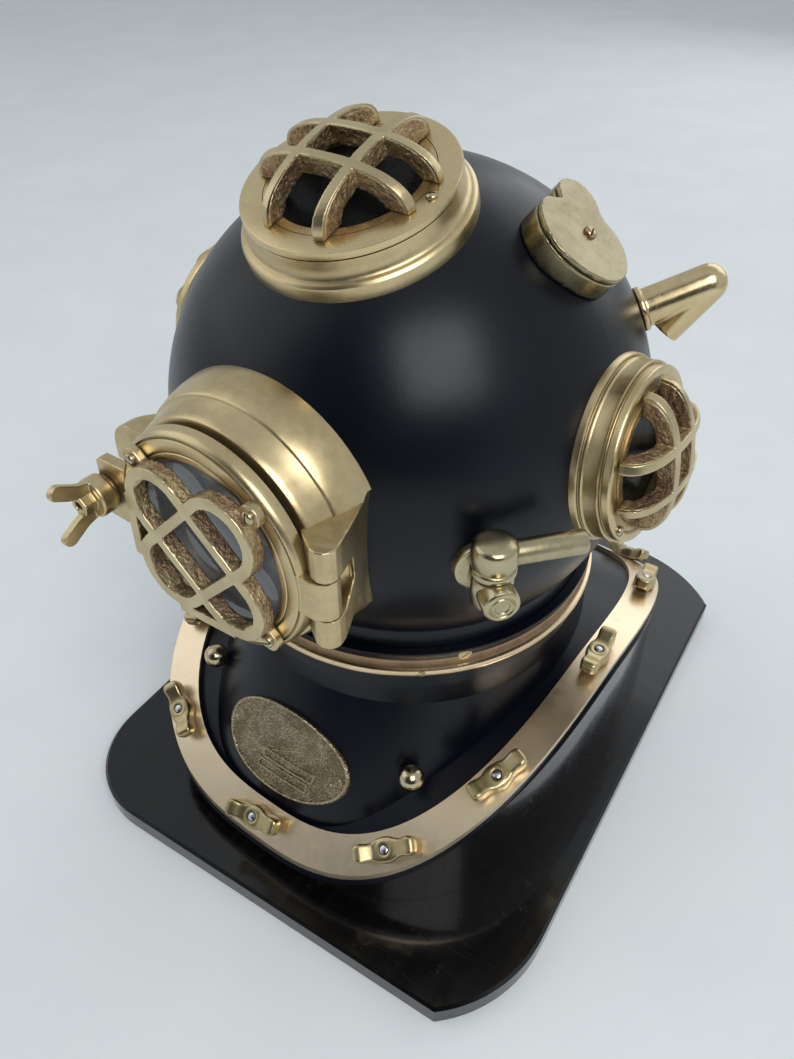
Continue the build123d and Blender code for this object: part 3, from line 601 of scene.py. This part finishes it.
room = {  # pale all round, with a dim corner in front that fades out at its edge
    "colour": (0.80, 0.845, 0.87), "light": 0.66, "dimming": 0.62, "corner": (0.38, -0.82, 0.42),
    "edge": (0.5, 0.88),
}
world = bpy.data.worlds.new("studio")
world.use_nodes = True
bpy.context.scene.world = world
sky = Board(world.node_tree)
vectors = {0: sky.make("ShaderNodeTexCoord", {}, {}, "Generated"), 1: Vector(room["corner"]).normalized()}
dim = sky.make("ShaderNodeVectorMath", {"operation": "DOT_PRODUCT"}, vectors, "Value").step(*room["edge"])
background = world.node_tree.nodes["Background"]
sky.feed(background.inputs[0], room["colour"])
sky.feed(background.inputs[1], room["light"] - dim * room["dimming"])
bpy.context.scene.view_settings.view_transform = "Standard"

print("front port and hinge")
upended = Matrix(((0, 0, 1, 0), (1, 0, 0, 0), (0, 1, 0, 0), (0, 0, 0, 1)))  # outline (y, out), thick along x
level = turnTo("X", 90)  # outline (x, out), thick along height

port = {
    "profile": [(46, 118), (76.3, 118), (75.7, 125), (75.0, 131), (74.0, 136), (72.8, 140.5), (71.4, 144.6),
                (70.7, 145.8), (70.3, 146.1), (69.7, 146.3), (68.4, 149.5), (67.1, 153.5), (66.3, 156.8),
                (65.6, 158.8), (64.9, 159.8), (63.6, 160.1), (58, 160.1), (57.5, 159.6), (50, 159.6),
                (46, 159.6)],
    "flank": [(63.6, 112), (67, 129.5), (72.2, 146), (77.2, 163), (110, 163), (110, 112)],
    "flankHalf": 36,
    "knuckleRoom": (70, 163, 7.6, 12.8),  # x, out, radius, half length
}
x, out, radius, half = port["knuckleRoom"]
flank = moved(prism(port["flank"], -port["flankHalf"], port["flankHalf"]), level)
knuckleRoom = moved(prism(circle(radius, x, out), -half, half), level)
drum = cut(lathe(port["profile"], 160), flank, knuckleRoom)
finishMesh("port_drum", [drum], frontFrame, "helmet", castBrass, ["front_port"], 24)

# Hinge block: the recess between its two knuckles takes the door's arm
hinge = {
    "outline": [(55, 161.7), (63.4, 167.2), (66.4, 169.3), (70.2, 170), (74, 168.8), (76.3, 166.2), (77, 163),
                (76, 158), (72.6, 146), (67.5, 130), (64.5, 120), (62.5, 110), (55, 110)],
    "recess": [(12.4, 200), (12.4, 146.5), (-1, 145.5), (-12.4, 156), (-12.4, 200)],
    "recessSpan": (20, 120),
    "top": (31, 163, 2.6, 36),  # height, where its slope starts, rise and run
    "foot": (-31, 157, 21, 30, 22),  # the same, and the most it rises
}


def hingeTop(out):
    height, start, rise, run = hinge["top"]
    return height + max(0, start - out) * rise / run


def hingeFoot(out):
    height, start, rise, run, most = hinge["foot"]
    return height + min(max(0, start - out) * rise / run, most)


block = prism(hinge["outline"], -1, 1)
for v in block.verts:
    x, out, end = v.co
    v.co = (x, hingeTop(out) if end > 0 else hingeFoot(out), out)
bmesh.ops.recalc_face_normals(block, faces=block.faces)
bmesh.ops.triangulate(block, faces=[f for f in block.faces if len(f.verts) > 4])
block = cast([cut(block, moved(prism(hinge["recess"], *hinge["recessSpan"]), upended))], 0.45)
finishMesh("hinge_casting", [block], frontFrame, "helmet", castBrass, ["hinge_block"], 40)

print("door, clamp and wing screw")
bolt = -77  # x of the clamp's bolt, where fork and lug have their slots
door = {  # rim, hinge arm and forked ear
    "rim": [(44, 163), (62.6, 163), (63.4, 163.7), (63.5, 165), (63.4, 168.4), (62.9, 169.6), (61.9, 170.9),
            (61.2, 171.4), (60.9, 171.5), (60.7, 171), (60.4, 170.6), (59.9, 170.6), (59.6, 171),
            (59.5, 171.6), (59.1, 171.9), (54.2, 172), (53.3, 171.8), (52.6, 171.2), (52.3, 170.2),
            (52.3, 164.5), (44.6, 164.5), (44, 164)],
    "arm": [(56, 163.2), (56, 171.4), (61.5, 171.4), (67.6, 171.8), (71.6, 170.1), (75.4, 167.6),
            (76.9, 163.4), (75.9, 159.4), (72.8, 156.7), (69.4, 156.1), (65.6, 157.8), (63.4, 161.3),
            (63.1, 163.2)],
    "armHalf": 11.8,
    "fork": [(-55, -19.5), (-55, 19.5), (-81.5, 18.6), (-83.6, 16.6), (-83.8, 7.2), (-82.6, 5.6), (bolt, 5.2)]
            + circle(5.2, bolt, 0, 13, 90, -90)[1:-1]
            + [(bolt, -5.2), (-82.6, -5.6), (-83.8, -7.2), (-83.6, -16.6), (-81.5, -18.6)],
    "forkSpan": (163.2, 170),
    "ringRoom": (53, 150, 180),  # radius, low, high
    "retainer": [(47.6, 169.1), (52.1, 169.1), (52.1, 171.1), (51.6, 171.5), (49.4, 171.6), (48.3, 171.2),
                 (47.6, 170.2)],
}
rim = lathe(door["rim"], 160)
arm = cast([moved(prism(door["arm"], -door["armHalf"], door["armHalf"]), level)], 0.45, 4)
radius, low, high = door["ringRoom"]
ringRoom = prism(circle(radius, count=96), low, high)
fork = cast([cut(prism(door["fork"], *door["forkSpan"]), ringRoom)], 0.45, 4)
retainer = lathe(door["retainer"], 128)
finishMesh("door_rim", [rim], frontFrame, "door", castBrass, ["door_ring"], 24)
finishMesh("door_arm", [arm, fork], frontFrame, "door", castBrass, ["door_ring"], 40)
finishMesh("door_glass_ring", [retainer], frontFrame, "door", castBrass, ["door_retainer"], 24)

lug = {  # clamp lug behind the fork
    "flange": rounded([(-58, -30.5, 2), (-58, 30.5, 2), (-90, 30.5, 17), (-91, 0, 0), (-90, -30.5, 17)], 10),
    "flangeSpan": (110, 170),
    "slot": [(-120, -5), (bolt, -5)] + circle(5, bolt, 0, 13, -90, 90)[1:-1] + [(bolt, 5), (-120, 5)],
    "slotSpan": (100, 180),
    "wedge": [(-58, 130), (-58, 151.5), (-93, 151.5), (-93, 147.5), (-80, 139.5), (-66, 126), (-58, 118)],
    "wedgeHalf": 40,
}
wedge = moved(prism(lug["wedge"], -lug["wedgeHalf"], lug["wedgeHalf"]), level)
foot = cut(prism(lug["flange"], *lug["flangeSpan"]), wedge, keepInside=True)
foot = cast([cut(foot, prism(lug["slot"], *lug["slotSpan"]))])
finishMesh("lug_casting", [foot], frontFrame, "helmet", castBrass, ["clamp_lug"], 40)

wing = {
    "x": -78,
    "collar": [(0, 172.4), (10.3, 172.4), (11.1, 172.9), (11.4, 173.8), (11.4, 180.6), (11.2, 181.5),
               (10.6, 182), (0, 182)],
    "blade": rounded([(2, 180, 0), (11, 180, 1), (13.4, 188, 8), (20.6, 200.4, 4.8), (14, 206.6, 4.8),
                      (7.6, 195.6, 7), (4.6, 189.2, 2), (2, 189.2, 0)], 8),
    "thickness": 3.6,
    "boss": (6.6, 180, 190, 0.8),  # reach of its corners, low, high, rounding
    "hole": (3.1, 4),  # radius and depth
    "shank": [(0, 150.2), (3.4, 150.2), (3.9, 151), (3.9, 172.6), (0, 172.6)],
}
reach, low, tip, width = wing["boss"]
radius, depth = wing["hole"]
hole = prism(circle(radius, count=24), tip - depth, tip + depth)
boss = cut(prism(hexagon(reach, 15), low, tip, width), hole)
half = wing["thickness"] / 2
blade = moved(prism(wing["blade"], -half, half), upended)
other = moved(prism([(-y, s) for y, s in reversed(wing["blade"])], -half, half), upended)
head = cast([lathe(wing["collar"], 64), boss, blade, other], 0.4)
where = frontFrame @ shift(wing["x"] * mm, 0, 0)
parts = [head, lathe(wing["shank"], 32)]
finishMesh("wing_screw_casting", parts, where, "screw", castBrass, ["wing_screw"], 40)

print("windows and their guards")
topRing = [(36, 128), (59.6, 128), (60, 131), (60, 138), (59.6, 139.3), (58.6, 140.4), (57.6, 140.9),
           (56.9, 141), (56.4, 141.3), (55.6, 142.2), (54.9, 144), (54.5, 146.5), (54.4, 149.5),
           (54.3, 150.8), (53.4, 151), (53.4, 151.5), (54.6, 151.6), (55, 152.1), (55, 155), (54.7, 155.7),
           (54, 156), (43.1, 156), (43.1, 146), (36, 146)]
sideRing = [(36, 128), (59.6, 128), (60, 130), (60, 138), (59.6, 139), (58.8, 139.4), (57.6, 139.5),
            (57.2, 139.9), (57.4, 140.4), (58.1, 140.8), (58.2, 141.3), (57.6, 141.8), (57.3, 142.2),
            (57.3, 149.2), (57.5, 149.6), (57.4, 150.1), (56.6, 150.4), (55.2, 150.6), (54.9, 151),
            (55.4, 151.4), (55.8, 151.9), (55.8, 155), (55.4, 155.7), (54.6, 156), (50.6, 156),
            (48.6, 154.9), (44, 154.6), (43.1, 154.6), (43.1, 146), (36, 146)]
windowScrew = (155.9, 3.0, 2.3, 0.8)  # out, radius, height, slot
windows = {  # frame, size of the ring, its profile and screw, the guard's reach, its bars across and up
    "top": (topFrame, 1.0, topRing, (47.5, 0.5), 47.5, (16, 12)),
    "left": (leftFrame, 0.85, sideRing, (-34, -27), 41.5, (10, 13)),
    "right": (rightFrame, 0.85, sideRing, (34, -27), 41.5, (10, 13)),
}
guard = {  # bars under a domed outline, rough between polished tops
    "foot": 156.3, "rise": 19.8, "polishRise": 20, "hollow": (0.74, 9.5),
    "half": 2.5, "length": 60, "height": 30, "rough": 0.55, "topEdge": (0.93, 0.08),
    "around": 64, "curve": 0.833,  # power of sine and cosine: 1 is an ellipse, less is fuller
}
castLumps = ((0.42, 0.75), (1.05, 0.5))  # how close together and how high


def clamped(value):
    return max(0, min(1, value))


def roughened(mesh, amount, sideShare):  # sideShare is 1 on rough sides and 0 on polished tops
    mesh.normal_update()
    moves = []
    for v in mesh.verts:
        lump = sum(noise.noise(v.co * close) * high for close, high in castLumps)
        moves.append(v.normal * (lump * amount * sideShare(v.co)))
    for v, move in zip(mesh.verts, moves):
        v.co += move
    return mesh


def ball(radius, height, foot):
    steps, curve = guard["around"] // 2, guard["curve"]
    profile = []
    for k in range(1, steps):
        t = math.pi * (k / steps - 0.5)
        up = math.copysign(abs(math.sin(t)) ** curve, math.sin(t))
        profile.append((radius * abs(math.cos(t)) ** curve, foot + height * up))
    return lathe([(0, foot - height), *profile, (0, foot + height)], guard["around"])


def windowGuard(reach, places):
    foot, half, length = guard["foot"], guard["half"], guard["length"]
    share, rise = guard["hollow"]
    bars = []
    for side in (1, -1):
        x, y = (side * place for place in places)
        for box in ((x - half, x + half, -length, length), (-length, length, y - half, y + half)):
            bar = slab(*box, foot, foot + guard["height"])
            bar = cut(bar, ball(reach, guard["rise"], foot), keepInside=True)
            bars.append(cut(bar, ball(share * reach, rise, foot)))

    def sideShare(co):
        q = (co.xy.length / reach) ** fullness + max(0, (co.z - foot) / guard["rise"]) ** fullness
        edge, fade = guard["topEdge"]
        return clamped((edge - q) / fade)

    return roughened(cast(bars, 0.45, 3), guard["rough"], sideShare)


for name, (where, size, profile, place, reach, bars) in windows.items():
    ring = lathe([(r * size, s) for r, s in profile], 144)
    stands = [name + "_window"]
    finishMesh(name + "_window_ring", [ring], where, "helmet", castBrass, stands, 24)
    head = screwHead(*place, *windowScrew)
    finishMesh(name + "_window_screw", [head], where, "helmet", paleBrass, [], 30)
    finish = guardFinish(name + "_guard_brass", where, (reach, guard["foot"], guard["polishRise"]))
    casting = windowGuard(reach, bars)
    stands = [name + "_guard"]
    finishMesh(name + "_guard_casting", [casting], where, "helmet", finish, stands, 50)

print("face guard")
faceGuard = {
    "turn": -44, "low": 173.6, "high": 182, "half": 52, "wide": 23, "bar": 6.6, "cross": 5.6, "rough": 0.6,
    "strut": ((44.5, -16.5), (17.5, -47.5), 2.8),  # its two ends and half its width
    "strutSpan": (174.6, 181.8),
    "foot": (44, 56, 6.4, 172.1, 177),  # from, to, half width, low, high
    "heel": (44, 51.4, 4.6, 174, 181),
    "screw": (176.9, 3.6, 2.4, 0.9),  # out, radius, height, slot
    "slotTurn": (25, 67),  # of the first screw, and from one to the next
    "topEdge": (0.7, 0.8), "tabEdge": (50, 3),  # where rough metal begins and over how much
    "through": (150, 200),
}
low, high, half, wide = (faceGuard[key] for key in ("low", "high", "half", "wide"))
inner, long = wide - faceGuard["bar"], half - faceGuard["bar"]


def stadium(length, width):
    run = length - width
    return circle(width, run, 0, 19, -90, 90) + circle(width, -run, 0, 19, 90, 270)


def faceSide(co):
    (drop, fade), (reach, run) = faceGuard["topEdge"], faceGuard["tabEdge"]
    return clamped((high - drop - co.z) / fade) * (1 - clamped((co.xy.length - reach) / run))


holes = [slab(-inner, inner, -inner, inner, *faceGuard["through"])]
start = inner + faceGuard["cross"]
pocket = [(start, -inner)] + circle(inner, long - inner, 0, 19, -90, 90) + [(start, inner)]
holes += [moved(prism(pocket, *faceGuard["through"]), turnTo("Z", 90 * k)) for k in range(4)]
bars = []
for k in range(2):
    loop = moved(prism(stadium(half, wide), low, high), turnTo("Z", 90 * k))
    bars.append(cut(loop, *[hole.copy() for hole in holes]))
for hole in holes:
    hole.free()
(ax, ay), (bx, by), halfStrut = faceGuard["strut"]
for side in (1, -1):
    a, b = Vector((side * ax, ay)), Vector((side * bx, by))
    across = (b - a).orthogonal().normalized() * halfStrut
    corners = [tuple(p) for p in (a - across, b - across, b + across, a + across)]
    bars.append(prism(corners, *faceGuard["strutSpan"]))
near, far, halfFoot, footLow, footHigh = faceGuard["foot"]
heelNear, heelFar, halfHeel, heelLow, heelHigh = faceGuard["heel"]
firstTurn, nextTurn = faceGuard["slotTurn"]
screws = []
for k in range(4):
    foot = slab(near, far, -halfFoot, halfFoot, footLow, footHigh)
    tab = prism(circle(halfFoot, far, 0, 32), footLow, footHigh)
    heel = slab(heelNear, heelFar, -halfHeel, halfHeel, heelLow, heelHigh)
    bars += [moved(part, turnTo("Z", 90 * k)) for part in (foot, tab, heel)]
    t = math.radians(faceGuard["turn"] + 90 * k)
    slotTurn = firstTurn + nextTurn * k
    screws.append(screwHead(far * math.cos(t), far * math.sin(t), *faceGuard["screw"], slotTurn))
stands = ["door_guard_screws"]
finishMesh("guard_screw_heads", screws, frontFrame, "door", paleBrass, stands, 30)
casting = roughened(cast(bars, 0.5, 4), faceGuard["rough"], faceSide)
where = frontFrame @ turnTo("Z", faceGuard["turn"])
flatGuard = guardFinish("face_guard_brass", frontFrame)
finishMesh("face_guard_casting", [casting], where, "door", flatGuard, ["door_guard"], 50)

print("tap")
tap = {  # flanged body, capped lever with a tube arm
    "out": 163,
    "body": [(0, -18), (9, -18), (10, -17.4), (10.5, -16.2), (10.5, -2), (10, -0.8), (8.8, -0.2), (8.4, 1),
             (0, 1)],
    "flange": [(0, 132), (15, 132), (15, 147.4), (14.4, 149), (12.8, 149.8), (9.6, 150.2), (8.4, 150.9),
               (8, 152.4), (8, 163), (0, 163)],
    "flangeHeight": -9,
    "plug": [(0, 163), (9.5, 163), (9.5, 177.4), (9.1, 178.6), (8.4, 179.2), (7.8, 179.4), (6.7, 179.4),
             (6.3, 178.9), (5.5, 178.9), (5.1, 179.3), (4.2, 179.3), (3.8, 178.7), (1.4, 178.6), (0, 178.9)],
    "plugHeight": -8,
    "cap": [(0, 1.65), (10.7, 1.65), (11.4, 2.2), (11.5, 3), (11.5, 4.7), (11.1, 5.4), (10.7, 5.8),
            (10.7, 6.5), (11.1, 6.9), (11.5, 7.6), (11.5, 16), (11.2, 17.8), (10.4, 19.2), (9, 20.1),
            (6.5, 20.8), (3, 21.2), (0, 21.25)],
    "arm": [(0, 0), (7.3, 0), (7.6, 0.6), (7.6, 4.4), (7.3, 5), (6.9, 5.2), (6.9, 7.4), (6.6, 8), (6.4, 8.2),
            (6.4, 44.6), (6, 45.6), (5.6, 46), (5, 45.8), (4.7, 45), (4.7, 36), (0, 36)],
    "armHeight": 11,
    "nut": (5.6, -24, -17, 0.7),  # reach of its corners, low, high, rounding
}
upright = shift(0, 0, tap["out"]) @ turnTo("X", -90)  # lathe axis along the frame's height
sidelong = shift(0, tap["armHeight"], tap["out"]) @ turnTo("Y", 90)  # lathe axis along its width
body = moved(lathe(tap["body"], 64), upright)
flange = moved(lathe(tap["flange"], 64), shift(0, tap["flangeHeight"], 0))
plug = moved(lathe(tap["plug"], 64), shift(0, tap["plugHeight"], 0))
finishMesh("tap_casting", [body, flange, plug], tapFrame, "helmet", paleBrass, ["tap_body"], 30)
reach, low, high, width = tap["nut"]
hexNut = moved(prism(hexagon(reach), low, high, width), upright)
finishMesh("tap_hex_nut", [hexNut], tapFrame, "helmet", paleBrass, ["tap_nut"], 30)
cap = moved(lathe(tap["cap"], 64), upright)
tube = moved(lathe(tap["arm"], 64), sidelong)
finishMesh("tap_handle", [cap, tube], tapFrame, "tap", paleBrass, ["tap_lever"], 30)

print("neck ring and small screws")
neckScrews = {  # azimuth, height over the ground, then out, radius, height, slot and its turn
    "neck_screw": (51.6, 190.6, 122.9, 4.3, 0.9, 0.8, 40),
    "bead_screw": (39.4, 182.4, 126.6, 2.3, 1.0, 0.8, 40),
}
for name, (azimuth, height, *sizes) in neckScrews.items():
    head = screwHead(0, height - domeHeight, *sizes)
    finishMesh(name, [head], aimed(azimuth, 0), "helmet", castBrass, [], 30)
cupScrew = (3.6, 0.5, 158, 3.5, 2.4, 1.0, 20)  # x, y, out, radius, height, slot and its turn
head = screwHead(*cupScrew)
finishMesh("cup_screw_head", [head], cupFrame, "helmet", copperBrass, ["cup_screw"], 30)

neck = {  # bright bead with a spigot below, a bronze band and a dark shade above
    "bead": [(111, 166.2), (113.3, 166.2), (113.3, 180.1), (126.1, 180.1), (126.8, 180.5), (127, 181.3),
             (127, 183.4), (126.6, 184.3), (125.6, 184.7), (118, 184.8), (111, 184.4)],
    "band": [(119.4, 184.3), (124.9, 184.5), (124.2, 185.6), (123.4, 187.4), (123.05, 190), (119.4, 190.05)],
    "shade": [(119.4, 190.1), (123.05, 190.1), (123.3, 192.6), (124.2, 195), (125, 196.4), (124.8, 197),
              (119.4, 197.05)],
}
neckFinishes = {
    "bead": (ringBrass, "strap_brass", 24), "band": (bandBrass, "strap_brass", 30),
    "shade": (darkEnamel, "dark_enamel", 30),
}
for name, (finish, slot, angle) in neckFinishes.items():
    ring = lathe(neck[name], 192)
    finishMesh("neck_" + name, [ring], neckFrame, "helmet", finish, ["neck_ring"], angle)

print("strap studs and wing nuts")
strap = {
    "halfWidth": 142.5, "halfDepth": 196, "centre": -9, "power": 2.8,  # the line that the studs stand on
    "radius": 290, "axis": -163,  # its bend seen from the side
    "shares": (-0.88, -0.556, 0.0, 0.556, 0.88),  # places along each side, in halves of its depth
}


def studFrame(share, side):
    wide, deep, power = strap["halfWidth"], strap["halfDepth"], strap["power"]
    x = side * wide * (1 - abs(share) ** power) ** (1 / power)
    y = deep * share
    slope = math.asin(y / strap["radius"])
    up = Vector((0, math.sin(slope), math.cos(slope)))
    nx = abs(x / wide) ** (power - 1) / wide * math.copysign(1, x)
    ny = abs(share) ** (power - 1) / deep * math.copysign(1, share)
    run = Vector((-ny, nx, 0))
    along = (run - up * run.dot(up)).normalized()
    turned = Matrix((along, up.cross(along), up)).transposed().to_4x4()
    height = strap["axis"] + strap["radius"] * math.cos(slope)
    return Matrix.Translation((x, strap["centre"] + y, height)) @ turned


nut = {
    "stations": [(-21, 3, 5.4, 10.6), (-20.3, 4.6, 4.6, 12), (-18.4, 5.6, 3.4, 12.9), (-15.6, 5.9, 2, 12.7),
                 (-13, 5.6, 1, 11.7), (-10.5, 5.4, 0.5, 10.5), (-8, 5.8, 0.4, 9.6), (-4.5, 7.4, 0.4, 9.1),
                 (0, 8, 0.4, 9)],  # x, half width, low and high of one wing
    "hub": [(0, 0.4), (8.2, 0.4), (8.3, 1.2), (8.2, 6.2), (7.5, 8.2), (5.8, 9.3), (4.2, 9.5), (3.6, 8.7),
            (0, 8.7)],
    "rounding": 1.6,
    "bore": (3.3, 3, 12),
    "stud": [(0, -3.6), (2.95, -3.6), (2.95, 8.6), (2.6, 9.3), (1.7, 9.7), (0, 9.8)],
    "turns": (7, -5, 4, -8, 6, -3, 5, -6, 3, -4, 8, -7),
}
rows = nut["stations"] + [(-x, *rest) for x, *rest in reversed(nut["stations"][:-1])]
sections = [(x, roundedBox(-w, w, low, high, nut["rounding"])) for x, w, low, high in rows]
wings = sweep([[(x, y, z) for y, z in section] for x, section in sections])
radius, low, high = nut["bore"]
nutMesh = cut(cast([wings, lathe(nut["hub"], 48)], 0.5, 8), prism(circle(radius, count=24), low, high))
studMesh = lathe(nut["stud"], 24)
places = [(share, side) for side in (1, -1) for share in strap["shares"]] + [(-1.0, 1), (1.0, 1)]
nuts, studs = [], []
for (share, side), turn in zip(places, nut["turns"]):
    place = studFrame(share, side)
    nuts.append(moved(nutMesh.copy(), place @ turnTo("Z", turn)))
    studs.append(moved(studMesh.copy(), place))
nutMesh.free()
studMesh.free()
finishMesh("wing_nut_castings", nuts, Matrix(), "stand", nutBrass, ["strap_wing_nuts"], 36)
finishMesh("stud_ends", studs, Matrix(), "stand", studSteel, ["strap_studs"], 36)

print("oval plate")
plate = {
    "half": (51, 30.3), "around": 144, "aimHeight": 99, "tilt": 38, "shift": (2.5, -2.5), "lift": 60,
    "rings": [(1.0, 0.3), (1.0, 2.2), (0.997, 2.8), (0.988, 3.2), (0.972, 3.3), (0.955, 3.1), (0.946, 2.6),
              (0.94, 2.2), (0.93, 2.1), (0.8, 2.15), (0.6, 2.15), (0.4, 2.15), (0.2, 2.15), (0.02, 2.15)],
    "frames": [(8, -7, 20, 3), (5, -15.4, 20, 3)],  # centre and half size
    "frameRounding": 0.8, "frameStep": 2.5,
    "frameSection": ((-0.7, 1.9), (-0.5, 2.9), (0.4, 3.0), (0.7, 1.9)),  # outward and height
    "screws": (-45, 45), "screwHead": (2.3, 1.0, 0.6, 50),  # places across; radius, height, slot and its turn
    "screwHeight": 2.0,
}
chest = nodes["breastplate"].data  # the plate is laid on the breastplate
chestTree = BVHTree.FromPolygons([v.co / mm for v in chest.vertices], [p.vertices for p in chest.polygons])
tilt = math.radians(plate["tilt"])
plateOut = Vector((0, -math.cos(tilt), math.sin(tilt)))
plateUp = Vector((0, math.sin(tilt), math.cos(tilt)))
plateFoot = chestTree.ray_cast(Vector((0, -500, plate["aimHeight"])), Vector((0, 1, 0)))[0]


def onChest(u, v, height):  # a place on the plate, height over the breastplate
    du, dv = plate["shift"]
    start = plateFoot + Vector((u + du, 0, 0)) + plateUp * (v + dv) + plateOut * plate["lift"]
    hit = chestTree.ray_cast(start, -plateOut)[0]
    return hit + plateOut * height


def plateFace():
    mesh = bmesh.new()
    half, tall = plate["half"]
    turns = [math.tau * k / plate["around"] for k in range(plate["around"])]
    loops = []
    for share, height in plate["rings"]:
        spots = [(half * share * math.cos(t), tall * share * math.sin(t)) for t in turns]
        loops.append([mesh.verts.new(onChest(u, v, height)) for u, v in spots])
    for a, b in zip(loops, loops[1:]):
        for k in range(len(turns)):
            n = (k + 1) % len(turns)
            mesh.faces.new((a[k], a[n], b[n], b[k]))
    mesh.faces.new(loops[-1])
    bmesh.ops.recalc_face_normals(mesh, faces=mesh.faces)
    return mesh


def plateFrame(cu, cv, hu, hv):  # a blank raised frame
    corners = roundedBox(cu - hu, cu + hu, cv - hv, cv + hv, plate["frameRounding"])
    stations = []
    for (u, v), (nu, nv) in zip(corners, corners[1:] + corners[:1]):
        parts = max(1, round(math.hypot(nu - u, nv - v) / plate["frameStep"]))
        for k in range(parts):
            pu, pv = u + (nu - u) * k / parts, v + (nv - v) * k / parts
            du, dv = (pu - cu) / hu, (pv - cv) / hv
            section = [(pu + a * du, pv + a * dv, height) for a, height in plate["frameSection"]]
            stations.append([onChest(*spot) for spot in section])
    return sweep(stations, closed=True)


def plateScrew(u):
    facing = Matrix((Vector((1, 0, 0)), plateUp, plateOut)).transposed().to_4x4()
    place = Matrix.Translation(onChest(u, 0, plate["screwHeight"]))
    return moved(screwHead(0, 0, 0, *plate["screwHead"]), place @ facing)


bits = [plateFace()] + [plateFrame(*box) for box in plate["frames"]]
bits += [plateScrew(u) for u in plate["screws"]]
finishMesh("oval_label", bits, Matrix(), "stand", plateBrass, ["oval_plate"], 30)

print("nodes kept from the frame")
ownFinish = {  # where it isn't the slot's usual one
    "door_glass": paleGlass, "left_elbow": tubeBrass, "right_elbow": tubeBrass, "cup_body": cupBrass,
    "cup_lid": cupBrass, "collar_ring": darkEnamel, "ball_studs": ballBrass, "screw_washer": copperBrass,
}
for subpart in frame["record"]["subparts"]:
    name = subpart["node"]
    keep(name, ownFinish.get(name, slots[subpart["material_slot"]]))
castNodes = {  # voxel size in millimetres, rounds of smoothing
    "cup_body": (0.7, 3), "cup_lid": (0.6, 3), "left_elbow": (0.6, 6), "right_elbow": (0.6, 6),
    "valve_body": (0.8, 4), "valve_wheel": (0.6, 5), "hinge_pin": (0.4, 3), "screw_washer": (0.3, 2),
    "ball_studs": (0.5, 3),
}
for name, (size, rounds) in castNodes.items():
    growSkin(nodes[name], size * mm, rounds)
